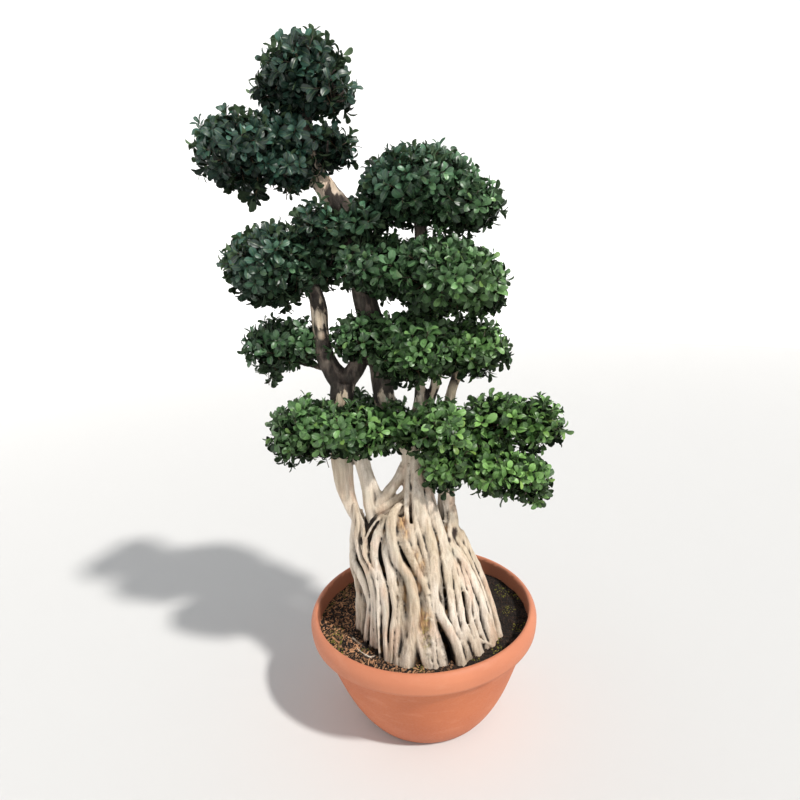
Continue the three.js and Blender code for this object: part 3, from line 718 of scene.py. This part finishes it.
def scatter_tree():
    tree = bpy.data.node_groups.new("scatter", "GeometryNodeTree")
    for kind, names in (("Geometry", ["Geometry"]), ("Collection", ["Shapes"]),
                        ("Float", ["Spacing", "Density", "Smallest", "Largest", "Lean", "Lowest",
                                   "Highest", "Inner", "Patch Size", "Patchy"]),
                        ("Int", ["Seed"]), ("Material", ["Material"])):
        for name in names:
            tree.interface.new_socket(name, in_out="INPUT", socket_type="NodeSocket" + kind)
    tree.interface.new_socket("Geometry", in_out="OUTPUT", socket_type="NodeSocketGeometry")

    def add(kind, settings=None, **inputs):
        return add_node(tree, kind, settings, **inputs).outputs

    def math_node(operation, a, b):
        return add("ShaderNodeMath", {"operation": operation}, _0=a, _1=b)[0]

    def vector(**inputs):
        return add("ShaderNodeCombineXYZ", **inputs)[0]

    def draw(low, high, seed):
        return add("FunctionNodeRandomValue", {"data_type": "FLOAT"}, _2=low, _3=high, Seed=seed)[1]

    def store(geometry, domain, name, value):
        return add("GeometryNodeStoreNamedAttribute", {"data_type": "FLOAT", "domain": domain},
                   Geometry=geometry, Name=name, Value=value)[0]

    given = add("NodeGroupInput")
    seed = given["Seed"]
    # Some places stay bare: where a cloudy pattern lies under the Patchy level
    cloud = add("ShaderNodeTexNoise", Scale=given["Patch Size"], Detail=2.0)["Fac"]
    upper = math_node("ADD", given["Patchy"], FULLY_BARE)
    full = add("ShaderNodeMapRange", {"clamp": True}, Value=cloud, From_Min=given["Patchy"],
               From_Max=upper)[0]
    spread = add("GeometryNodeDistributePointsOnFaces", {"distribute_method": "POISSON"},
                 Mesh=given["Geometry"], Distance_Min=given["Spacing"], Density_Max=given["Density"],
                 Density_Factor=full, Seed=seed)
    lean = given["Lean"]
    back = math_node("MULTIPLY", lean, -1.0)
    turn = add("FunctionNodeRandomValue", {"data_type": "FLOAT_VECTOR"}, Seed=seed,
               _0=vector(X=back, Y=back, Z=-math.pi), _1=vector(X=lean, Y=lean, Z=math.pi))[0]
    angle = add("FunctionNodeEulerToRotation", Euler=turn)[0]
    pose = add("FunctionNodeRotateRotation", {"rotation_space": "LOCAL"},
               Rotation=spread["Rotation"], Rotate_By=angle)[0]
    shapes = add("GeometryNodeCollectionInfo", Collection=given["Shapes"], Separate_Children=True,
                 Reset_Children=True)[0]
    # Shade is full inside a pad, and grows from its sides to its underside
    facing = add("ShaderNodeSeparateXYZ", Vector=spread["Normal"])[2]
    under = add("ShaderNodeMapRange", {"clamp": True}, Value=facing, From_Min=0.05, From_Max=-0.6,
                To_Max=0.85)[0]
    points = store(spread["Points"], "POINT", "shade", math_node("MAXIMUM", given["Inner"], under))
    placed = add("GeometryNodeInstanceOnPoints", Points=points, Instance=shapes, Pick_Instance=True,
                 Rotation=pose, Scale=draw(given["Smallest"], given["Largest"], seed))[0]
    placed = add("GeometryNodeTranslateInstances", Instances=placed, Local_Space=True,
                 Translation=vector(Z=draw(given["Lowest"], given["Highest"], 11)))[0]
    placed = store(placed, "INSTANCE", "tint", draw(0.0, 1.0, 7))
    real = add("GeometryNodeRealizeInstances", Geometry=placed)[0]
    add("NodeGroupOutput", Geometry=add("GeometryNodeSetMaterial", Geometry=real,
                                        Material=given["Material"])[0])
    return tree


scatter_nodes = scatter_tree()


def scatter(name, surface, shapes, material, **numbers):
    """The shapes scattered over the surface, as a plain mesh. The surface itself goes."""
    surface.name = name
    modifier = surface.modifiers.new("scatter", "NODES")
    modifier.node_group = scatter_nodes
    values = {"Shapes": shapes, "Material": material, "Density": 40000.0, "Lean": 0.25, "Lowest": 0.0,
              "Highest": 0.0, "Inner": 0.0, "Patch Size": 12.0, "Patchy": 0.0, "Seed": 1, **numbers}
    for item in scatter_nodes.interface.items_tree:
        if item.in_out == "INPUT" and item.name in values:
            modifier[item.identifier] = values[item.name]
    surface.update_tag()
    return bake_modifiers(surface)


def shapes_collection(name, pieces):
    """A collection of shapes to scatter, which doesn't show in the scene."""
    collection = bpy.data.collections.new(name)
    for piece in pieces:
        bpy.context.collection.objects.unlink(piece)
        collection.objects.link(piece)
    return collection


print("scatter nodes:", len(scatter_nodes.nodes))

# %% [markdown]
# ## Wood
# The stems grow out of a fused mass of roots. Each is a bent tube with blunt ribs, as if strands
# had grown together. A voxel remesh melts them into one skin, and noise roughens the bark.

# %% Skirt of fused roots
def skirt_at(height):
    rows = np.array(SKIRT, float)
    low = int(np.clip(np.searchsorted(rows[:, 0], height, side="right") - 1, 0, len(rows) - 2))
    share = (height - rows[low, 0]) / (rows[low + 1, 0] - rows[low, 0])
    return rows[low] + share * (rows[low + 1] - rows[low])


def on_skirt(degrees, height, scale):
    _, x, y, across, deep = skirt_at(height)
    angle = math.radians(degrees)
    return np.array((x + scale * across * math.cos(angle), y + scale * deep * math.sin(angle), height))


# The mass's share of the skirt's width, and how much further in its front lies, both by height
CORE_HEIGHTS = [250, 300, 450, 600, 690, 725]
CORE_SHARE = [0.95, 0.95, 0.95, 0.91, 0.72, 0.42]
FRONT_DRAW = [0.20, 0.19, 0.13, 0.09, 0.03, 0.0]
CORE_ROWS, CORE_AROUND = 48, 300
REAR_FROM, REAR_WIDTH, REAR_ROOTS = -4, 200, 17


def fused_mass():
    """The closed mass behind the roots: drawn in at the front, ridged at the rear."""
    points = []
    for row in range(CORE_ROWS):
        up = row / (CORE_ROWS - 1)
        height = np.interp(up, [0, 1], [CORE_HEIGHTS[0], CORE_HEIGHTS[-1]])
        share = np.interp(height, CORE_HEIGHTS, CORE_SHARE)
        draw = np.interp(height, CORE_HEIGHTS, FRONT_DRAW)
        fade = 1 - up**3
        for k in range(CORE_AROUND):
            degrees = 360 * k / CORE_AROUND
            turn = (degrees - REAR_FROM) % 360
            if turn < REAR_WIDTH:
                place = turn / REAR_WIDTH * REAR_ROOTS
                place += 0.3 * math.sin(up * 7 + place * 0.6) * math.sin(math.pi * place / REAR_ROOTS)
                out = (-0.05 + 0.125 * abs(math.sin(math.pi * place)) ** 0.6) * fade
            else:
                edge = min(turn - REAR_WIDTH, 360 - turn) / 18
                out = -draw * min(1.0, edge)
            points.append(on_skirt(degrees, height, share + out) * MM)
    faces = ring_faces(CORE_ROWS, CORE_AROUND)
    for start, order in ((0, -1), ((CORE_ROWS - 1) * CORE_AROUND, 1)):
        middle = len(points)
        points.append(np.mean(points[start:start + CORE_AROUND], axis=0))
        for k in range(CORE_AROUND):
            faces.append((*(start + k, start + (k + 1) % CORE_AROUND)[::order], middle))
    return points, faces, {}

# %% Stems and branches
TWIG_RADII = (5.5, 3.6, 1.8)
random = np.random.default_rng(5)


def twigs_for(lobes):
    """Twigs that fan out from the middle of every lobe, seen under the pads."""
    made = []
    for x, y, z, rx, ry, rz in lobes:
        start = np.array((x, y, z - 0.35 * rz))
        for k in range(9):
            angle = 2.4 * k + random.uniform(-0.3, 0.3)
            reach = random.uniform(0.55, 0.8)
            end = np.array((x + rx * reach * math.cos(angle), y + ry * reach * math.sin(angle),
                            z + rz * random.uniform(-0.35, 0.35)))
            middle = (start + end) / 2 + random.uniform(-9, 9, 3) + (0, 0, -0.1 * rz)
            path = np.array((start, middle, end)) * MM
            # The twigs take the dark bark, which is partly painted shade
            made.append(tube(path, np.array(TWIG_RADII) * MM, 6, 0.014, {"pale": 0.1}))
    return made


stem_parts = []
for radii, places in STEMS:
    wobble = random.uniform(-2.5, 2.5, (len(places), 3))
    path = (np.array(places, float) + wobble) * MM
    phase = random.uniform(0, 6)
    stem_parts.append(tube(path, np.array(radii) * 1.02 * MM, 24, 0.009, {}, 0.07, 0.05, phase))
points, faces, _ = joined(stem_parts)
wood_piece = make_mesh("fused_trunk", points, faces)
print(len(points), "points before the remesh")

# %% Remesh
# Where the bark has flaked and where sunlight is painted on it: place and reach
FLAKED_AND_SUNLIT_SPOTS = [
    [-205, -25, 1620, 52], [-226, -25, 1668, 30], [-240, -34, 1262, 36], [-236, -34, 1215, 22],
    [48, -58, 1322, 40], [46, -58, 1370, 26], [140, -66, 1108, 60], [112, -66, 1040, 50],
    [70, -62, 1070, 34], [-196, -60, 1035, 26], [34, -62, 1060, 40], [24, -66, 990, 60],
]


def melt(piece, voxel, rounds, layers, share):
    """Turns overlapping closed parts into one skin, smoothed a little and roughened. It keeps
    that share of its faces, the most where the skin bends."""
    remesh = piece.modifiers.new("melt", "REMESH")
    remesh.mode = "VOXEL"
    remesh.voxel_size = voxel
    smooth = piece.modifiers.new("smooth", "SMOOTH")
    smooth.iterations = rounds
    smooth.factor = 0.5
    roughen(bake_modifiers(piece), layers)
    piece.modifiers.new("fewer", "DECIMATE").ratio = share
    bake_modifiers(piece).data.shade_smooth()


def paleness(spots):
    """1 on the lower wood, 0 higher up in partly painted shade, pale at flaked bark and painted
    sunlight.
    """
    pale = np.interp(spots[:, 2], (985, 1075), (1.0, 0.12))
    for x, y, z, reach in FLAKED_AND_SUNLIT_SPOTS:
        away = np.linalg.norm((spots - (x, y, z)) * (1, 1, 0.75), axis=1) / reach
        pale = np.maximum(pale, 0.9 * np.exp(-away**2))
    return pale


melt(wood_piece, 0.0040, 3, [(60, 2.5, 4.0), (20, 3.0, 2.2), (7, 3.0, 0.9)], 0.75)
add_attribute(wood_piece.data, "pale", paleness(read_points(wood_piece) / MM))
finish_piece(wood_piece, BARK_SLOT, "trunk", paint=bark)

# %% [markdown]
# The curtain of roots hangs in front of the fused mass. The thick ones come first. Thin ones run
# between them, cross over and split, as aerial roots do, and more of them clothe the rear. All
# melt into the mass behind them, which leaves deep grooves between.

# %% Curtain of roots
# How far out roots sit, as a share of the skirt's width
ROOT_SEAT, THIN_SEAT, OVER = 0.99, 1.0, 1.055
SLIMMER = (0.74, 0.93)  # Of the source's radii, at the left and from the middle on
# Where some of the thick roots leave a stem, by their place in the list
LEADS = {
    5: [[-46, -116, 742]],
    8: [[-20, -80, 850], [-26, -104, 785], [-33, -130, 737]],
    9: [[-8, -82, 860], [-8, -104, 790], [-9, -127, 742]],
    10: [[0, -78, 870], [2, -94, 820], [3, -113, 785]],
    11: [[12, -72, 865], [18, -88, 810], [26, -109, 772]],
    12: [[22, -70, 850], [40, -100, 750], [60, -118, 670]],
    13: [[74, -80, 740], [78, -100, 672]],
    15: [[92, -84, 720], [91, -100, 662]],
    16: [[104, -76, 710], [103, -90, 660]],
}
# Two thin roots that lie on the soil at the left
GROUND_ROOTS = [
    [[-160, -120, 322], [-150, -150, 306], [-176, -140, 303], [-205, -112, 304], [-232, -72, 303],
     [-252, -60, 299]],
    [[-128, -150, 326], [-138, -172, 306], [-160, -186, 303], [-186, -164, 303], [-214, -118, 300]],
]
GROUND_RADII = [5, 4.5, 4, 3.2, 2.2]
LOOSE_FRONT, LOOSE_REAR, LOOSE_STEPS = 20, 66, 8


def root(course, radii, seat, sides=10, lead=()):
    """A ribbed tube down the skirt, through (degrees, height) places, after any lead places."""
    path = [*lead, *(on_skirt(degrees, height, seat) for degrees, height in course)]
    return tube(np.array(path) * MM, np.asarray(radii) * MM, sides, 0.006, {}, 0.14, 0.09,
                random.uniform(0, 6))


def slimmed(radius, degrees):
    return radius * np.interp(degrees, (-150, -104), SLIMMER)


root_parts = [fused_mass()]
for k, (radius_top, radius_foot, course) in enumerate(FRONT_ROOTS):
    lead = LEADS.get(k, ())
    if not lead:
        course = [(course[0][0], course[0][1] + 26), *course]
    course = [*course, (course[-1][0], ROOT_END)]
    steps = len(lead) + len(course)
    radii = slimmed(np.linspace(radius_top, radius_foot, steps), course[1][0])
    radii *= random.uniform(0.92, 1.1, steps)
    radii[0] *= 0.5
    radii[:len(lead)] *= 0.8
    radii[-2:] *= (1.08, 1.3)
    root_parts.append(root(course, radii, ROOT_SEAT, 18, lead))
for radius, over, course in THIN_ROOTS:
    radii = slimmed(radius, course[0][0]) * random.uniform(0.85, 1.2, len(course))
    radii[0] *= 0.6
    root_parts.append(root(course, radii, OVER if over else THIN_SEAT))
for k in range(LOOSE_FRONT + LOOSE_REAR):
    front = k < LOOSE_FRONT
    degrees = random.uniform(-122, -6) if front else random.uniform(-6, 190)
    head = random.uniform(400, 620) if front else random.uniform(420, 700)
    tail = random.choice([ROOT_END, random.uniform(300, 420)], p=[0.8, 0.2])
    course = []
    drift = random.uniform(-1.6, 1.6)
    for height in np.linspace(head, tail, LOOSE_STEPS):
        degrees += drift + random.uniform(-1.8, 1.8)
        course.append((degrees, height))
    radius = random.uniform(2.8, 5.2) if front else random.uniform(4, 12)
    radii = radius * random.uniform(0.85, 1.15, LOOSE_STEPS)
    radii[0] *= 0.5
    seat = random.uniform(0.88, 0.96) if front else random.uniform(0.96, 1.04)
    root_parts.append(root(course, radii, seat))
for course in GROUND_ROOTS:
    root_parts.append(tube(np.array(course) * MM, np.array(GROUND_RADII) * MM, 8, 0.006, {}, 0.1))
points, faces, _ = joined(root_parts)
curtain = make_mesh("root_curtain", points, faces)
melt(curtain, 0.0030, 4, [(40, 3.0, 2.6), (13, 5.0, 1.7), (5.5, 7.0, 0.9)], 0.52)
print(len(FRONT_ROOTS), "thick,", len(THIN_ROOTS), "thin and", LOOSE_FRONT + LOOSE_REAR, "loose roots")

# %% [markdown]
# A groove is where the skin lies deeper than the roots round it. The highest skin in every small
# window round the skirt is found first. The depth below it becomes a number at each point, which the
# bark's material reads as painted shade. Fibre, moss and the painted shade of small holes are
# marked in the same way.

# %% Groove shade, fibre and hole shade
# Places on the skirt: degrees, height and reach
FIBRE_SPOTS = [
    [-89, 694, 17], [-87, 668, 15], [-81, 606, 13], [-78, 577, 13], [-87, 520, 12], [-91, 420, 26]]
MOSS_SPOTS = [[-90, 425, 20], [-91, 372, 24], [-92, 330, 18]]
SHADED_HOLES = [[-94, 542, 9], [-39, 626, 8], [-23, 637, 15]]
WINDOW_DEGREES, WINDOW_HEIGHT, WINDOW_ROWS = 1.5, 10.0, 100
WINDOW_COLUMNS = int(360 / WINDOW_DEGREES)
# Heights between which the grooves fade out, before and behind a line across the skirt
FRONT_FADE, REAR_FADE, FRONT_LINE = (690, 730), (560, 650), -60


def skirt_numbers(spots):
    """Degrees round the skirt, and distance out from its middle in mm, for many points at once."""
    rows = np.array(SKIRT, float)
    x, y, across, deep = (np.interp(spots[:, 2], rows[:, 0], rows[:, k]) for k in range(1, 5))
    angle = np.arctan2((spots[:, 1] - y) / deep, (spots[:, 0] - x) / across)
    share = np.hypot((spots[:, 0] - x) / across, (spots[:, 1] - y) / deep)
    return np.degrees(angle), share * np.sqrt(across * deep)


def groove_depth(spots, nothing, full):
    degrees, out = skirt_numbers(spots)
    column = ((degrees + 180) / WINDOW_DEGREES).astype(int) % WINDOW_COLUMNS
    row = np.clip((spots[:, 2] / WINDOW_HEIGHT).astype(int), 0, WINDOW_ROWS - 1)
    grid = np.zeros((WINDOW_ROWS, WINDOW_COLUMNS))
    np.maximum.at(grid, (row, column), out)
    highest = grid
    for step in (-5, -3, -1, 1, 3, 5):
        highest = np.maximum(highest, np.roll(grid, step, axis=1))
    for step in (-1, 1):
        highest = np.maximum(highest, np.roll(highest, step, axis=0))
    return np.clip((highest[row, column] - out - nothing) / (full - nothing), 0, 1)


def crease(piece, nothing, full):
    """0 to 1 for how far a point lies below the smoothed skin round it, in mm."""
    ends = np.empty(len(piece.data.edges) * 2, dtype=np.int32)
    piece.data.edges.foreach_get("vertices", ends)
    a, b = ends.reshape(-1, 2).T
    place = read_points(piece) / MM
    count = np.bincount(ends, minlength=len(place))

    def smoothed(values, rounds):
        for _ in range(rounds):
            total = np.bincount(a, values[b], len(place)) + np.bincount(b, values[a], len(place))
            values = (values + total / count) / 2
        return values

    below = np.stack([smoothed(column, 8) for column in place.T], axis=1) - place
    below = smoothed((below * read_points(piece, "normal")).sum(axis=1), 3)
    return np.clip((below - nothing) / (full - nothing), 0, 1)


def near_spots(spots, marks, seat, tall=0.6, sharp=4):
    """1 at the marks and 0 away from them. Tall under 1 draws a mark out along Z."""
    found = np.zeros(len(spots))
    for degrees, height, reach in marks:
        away = np.linalg.norm((spots - on_skirt(degrees, height, seat)) * (1, 1, tall), axis=1) / reach
        found = np.maximum(found, np.exp(-away**sharp))
    return found


spots = read_points(curtain) / MM
height = spots[:, 2]
fades = [np.interp(height, between, (1, 0)) for between in (FRONT_FADE, REAR_FADE)]
fade = np.where(spots[:, 1] < FRONT_LINE, *fades)
# The groove marks are painted shade in the grooves and creases
marks = {
    "groove": np.maximum(groove_depth(spots, 9, 22) * fade, crease(curtain, 0.15, 0.75)),
    "pale": np.ones(len(spots)),
    "hairy": near_spots(spots, FIBRE_SPOTS, 0.98),
    "mossy": near_spots(spots, MOSS_SPOTS, 0.95),
    "knot": near_spots(spots, SHADED_HOLES, 1.05, 0.9, 10),
}
for name, values in marks.items():
    add_attribute(curtain.data, name, values)
finish_piece(curtain, BARK_SLOT, "trunk", paint=bark)
# Painted shade in the creases of the stems
add_attribute(wood_piece.data, "groove", 0.7 * crease(wood_piece, 0.2, 1.1))

# %% [markdown]
# ## Leaves
# A leaf is a folded, blunt blade, broadest past its middle. A sprig is a short twig with seven to
# nine of them in a spiral. Six different sprigs are scattered over every pad.

# %% Leaf and sprigs
LEAF_LONG = 0.037
STALK = 0.08  # Of the leaf's length
STATIONS = [(0.22, 0.115), (0.48, 0.215), (0.76, 0.25), (0.93, 0.16)]  # Along the blade, half its width
SPRIG_LEAVES = (7, 8, 9, 7, 8, 8)
SPIRAL = 2.4  # Radians from one leaf to the next


def leaf_blade(length, droop, fold, own):
    """One leaf that lies along +X from its stalk, with how far across each point is."""
    def rise(t, half):
        return length * (0.10 * math.sin(math.pi * t) - droop * t * t + fold * half)

    points, across = [(STALK * length, 0, 0)], [0.0]
    for t, half in STATIONS:
        for side in (-1, 0, 1):
            along = length * (STALK + (1 - STALK) * t)
            points.append((along, side * half * length, rise(t, abs(side) * half)))
            across.append(side * half)
    points.append((length, 0, rise(1, 0)))
    across.append(0.0)
    faces = [(0, 1, 2), (0, 2, 3)]
    for a in range(1, 3 * len(STATIONS) - 2, 3):
        faces += [(a, a + 3, a + 4, a + 1), (a + 1, a + 4, a + 5, a + 2)]
    tip = len(points) - 1
    faces += [(tip - 3, tip, tip - 2), (tip - 2, tip, tip - 1)]
    return np.array(points), faces, {"across": np.array(across), "wood": 0.0, "own": own}


def sprig(name, leaves):
    """Leaves in a spiral, each turned up more and smaller than the one below."""
    parts = []
    for k in range(leaves):
        share = k / (leaves - 1)
        pitch = math.radians(-4 + 62 * share + random.uniform(-12, 12))
        spin = SPIRAL * k + random.uniform(-0.35, 0.35)
        size = LEAF_LONG * (1.08 - 0.38 * share) * random.uniform(0.85, 1.12)
        blade, faces, values = leaf_blade(size, random.uniform(0.02, 0.2), random.uniform(0.1, 0.5),
                                          min(1.0, random.uniform(0, 0.85) + 0.25 * share))
        roll = random.uniform(-0.6, 0.6)
        pose = (Matrix.Translation((0, 0, (-12 + 22 * share) * MM)) @ Matrix.Rotation(spin, 4, "Z")
                @ Matrix.Rotation(-pitch, 4, "Y") @ Matrix.Rotation(roll, 4, "X"))
        parts.append((np.array([pose @ Vector(p) for p in blade]), faces, values))
    stalk = np.array([(0, 0, -30), (1, 0.5, -8), (0, 0, 12)]) * MM
    values = {"across": 0.0, "wood": 1.0, "own": 0.5}
    parts.append(tube(stalk, [0.0013, 0.0011, 0.0008], 3, 0.022, values))
    return make_mesh(name, *joined(parts))


sprigs = shapes_collection("sprigs", [
    sprig("sprig_%d" % k, leaves) for k, leaves in enumerate(SPRIG_LEAVES)])

# %% [markdown]
# A pad's surface is that of its lobes, lumpy as clipped shoots are, and flatter below, without
# what lies inside a neighbour. A broken layer of sprigs stands on it, a darker one in painted
# shade lies inside, and a few stray shoots reach out.

# %% Pads
LEAF_DEPTH = 28  # How far in the surface lies, for the leaves to end at the lobe's size
LAYERS = [
    (LEAF_DEPTH, {"Inner": 0.0, "Spacing": 0.0235, "Patchy": 0.36, "Lowest": -0.010, "Highest": 0.010,
                  "Smallest": 0.85, "Largest": 1.18}),
    (LEAF_DEPTH + 20, {"Inner": 0.75, "Spacing": 0.032, "Patchy": 0.0, "Lowest": -0.006,
                       "Highest": 0.006, "Smallest": 0.95, "Largest": 1.25}),
    (LEAF_DEPTH - 3, {"Inner": 0.0, "Spacing": 0.085, "Patchy": 0.45, "Lowest": 0.006,
                      "Highest": 0.020, "Smallest": 0.85, "Largest": 1.10}),
]
# Shoots that hang below a pad, each as a small lobe of it
TUFTS = {
    "pad_upper_left": [[-374, -52, 1592, 42, 44, 34], [-286, -38, 1596, 40, 40, 34]],
    "pad_upper_right": [[78, -40, 1480, 38, 38, 42]],
    "pad_middle_left": [[-318, -44, 1312, 42, 44, 34]],
    "pad_middle_right": [[122, -70, 1268, 44, 44, 34], [60, -110, 1262, 38, 38, 32]],
    "pad_lower_left": [[-392, -10, 1110, 38, 40, 32]],
    "pad_low_left": [[-352, -84, 886, 42, 42, 34], [-240, -120, 886, 38, 38, 34]],
    "pad_low_right": [[252, -96, 742, 40, 40, 34], [338, -84, 728, 38, 38, 32]],
}
UNDERSIDE = 0.85
SMALLEST_LOBE, HIDDEN_BY = 6, 4
FIRST_SEED = 20
ball_points, ball_faces = ball(4)


def pad_surface(name, lobes, shrink):
    """The outside of the lobes, drawn in by so many millimetres."""
    parts = []
    for n, (x, y, z, rx, ry, rz) in enumerate(lobes):
        sizes = np.maximum(np.array((rx, ry, rz)) - shrink, SMALLEST_LOBE)
        spots = []
        for point in ball_points:
            place = point * 2.1 + Vector((x, y, z)) * 0.01
            lump = 1 + 0.10 * noise.noise(place) + 0.085 * noise.noise(place * 2.4)
            scale = lump * np.array((1, 1, UNDERSIDE if point.z < 0 else 1))
            spots.append(np.array((x, y, z)) + np.array(point) * sizes * scale)
        spots = np.array(spots)
        hidden = np.zeros(len(spots), bool)
        for m, other in enumerate(lobes):
            if m != n:
                radii = np.maximum(np.array(other[3:]) - shrink - HIDDEN_BY, 1)
                hidden |= (((spots - other[:3]) / radii) ** 2).sum(axis=1) < 1
        parts.append((spots * MM, [face for face in ball_faces if not hidden[face].all()], {}))
    return make_mesh(name, *joined(parts))


leaf_slots = {entry["node"]: entry["material_slot"] for entry in record["subparts"]}
for number, (name, lobes) in enumerate(PADS.items()):
    layers = []
    for k, (shrink, numbers) in enumerate(LAYERS):
        surface = pad_surface(name + "_layer", lobes + TUFTS.get(name, []), shrink)
        layers.append(scatter(name + "_layer", surface, sprigs, leaf.material, Lean=0.65,
                              Seed=FIRST_SEED + len(LAYERS) * number + k, **numbers))
    merged = bmesh.new()
    for layer in layers:
        merged.from_mesh(layer.data)
    foliage = layers[0]
    foliage.name = name.replace("pad_", "leaves_")
    merged.to_mesh(foliage.data)
    merged.free()
    for layer in layers[1:]:
        bpy.data.objects.remove(layer)
    finish_piece(foliage, leaf_slots[name], name)

# %% Twigs under the pads
twigs = make_mesh("twigs", *joined([part for lobes in PADS.values() for part in twigs_for(lobes)]))
finish_piece(twigs, BARK_SLOT, paint=bark)

# %% [markdown]
# ## Chips and moss
# Bark chips lie all over the soil outside the roots. Moss grows in a few cushions.

# %% Chips and moss
def chip_shape(name, length, width, height, seed):
    rng = np.random.default_rng(seed)
    points, faces = ball(1)
    spots = [np.array(point) * rng.uniform(0.7, 1.25) * (length, width, height) for point in points]
    return make_mesh(name, np.array(spots) * MM, faces, smooth=False)


def soil_band(name, test):
    """The part of the soil's surface whose faces pass the test, as a new piece."""
    faces = [list(p.vertices) for p in soil_piece.data.polygons if test(p.center / MM)]
    return make_mesh(name, read_points(soil_piece), faces)


def outside_roots(spot):
    _, x, y, across, deep = skirt_at(SOIL_LEVEL)
    return ((spot.x - x) / across) ** 2 + ((spot.y - y) / deep) ** 2 > 0.9


def mossy(spot):
    return outside_roots(spot) and noise.noise(Vector((spot.x / 60, spot.y / 60, 5))) > 0.22


CHIPS = [(9, 4, 2.2), (6, 4.5, 2.6), (13, 2.2, 1.6), (4.5, 3.5, 2.5)]
CUSHIONS = [(5, 4.5, 3), (3.5, 3.2, 2.4)]
chips = shapes_collection("chips", [
    chip_shape("chip_%d" % k, *size, 1 + k) for k, size in enumerate(CHIPS)])
chips_piece = scatter("bark_chips", soil_band("bark_chips", outside_roots), chips, chip.material,
                      Spacing=0.0054, Smallest=0.4, Largest=1.1, Lean=0.5, Seed=3)
finish_piece(chips_piece, SOIL_SLOT)
cushions = shapes_collection("cushions", [
    chip_shape("cushion_%d" % k, *size, 5 + k) for k, size in enumerate(CUSHIONS)])
moss_piece = scatter("moss_cushions", soil_band("moss_cushions", mossy), cushions, moss.material,
                     Spacing=0.006, Smallest=0.4, Largest=1.0, Lean=0.3, Seed=4)
finish_piece(moss_piece, SOIL_SLOT)
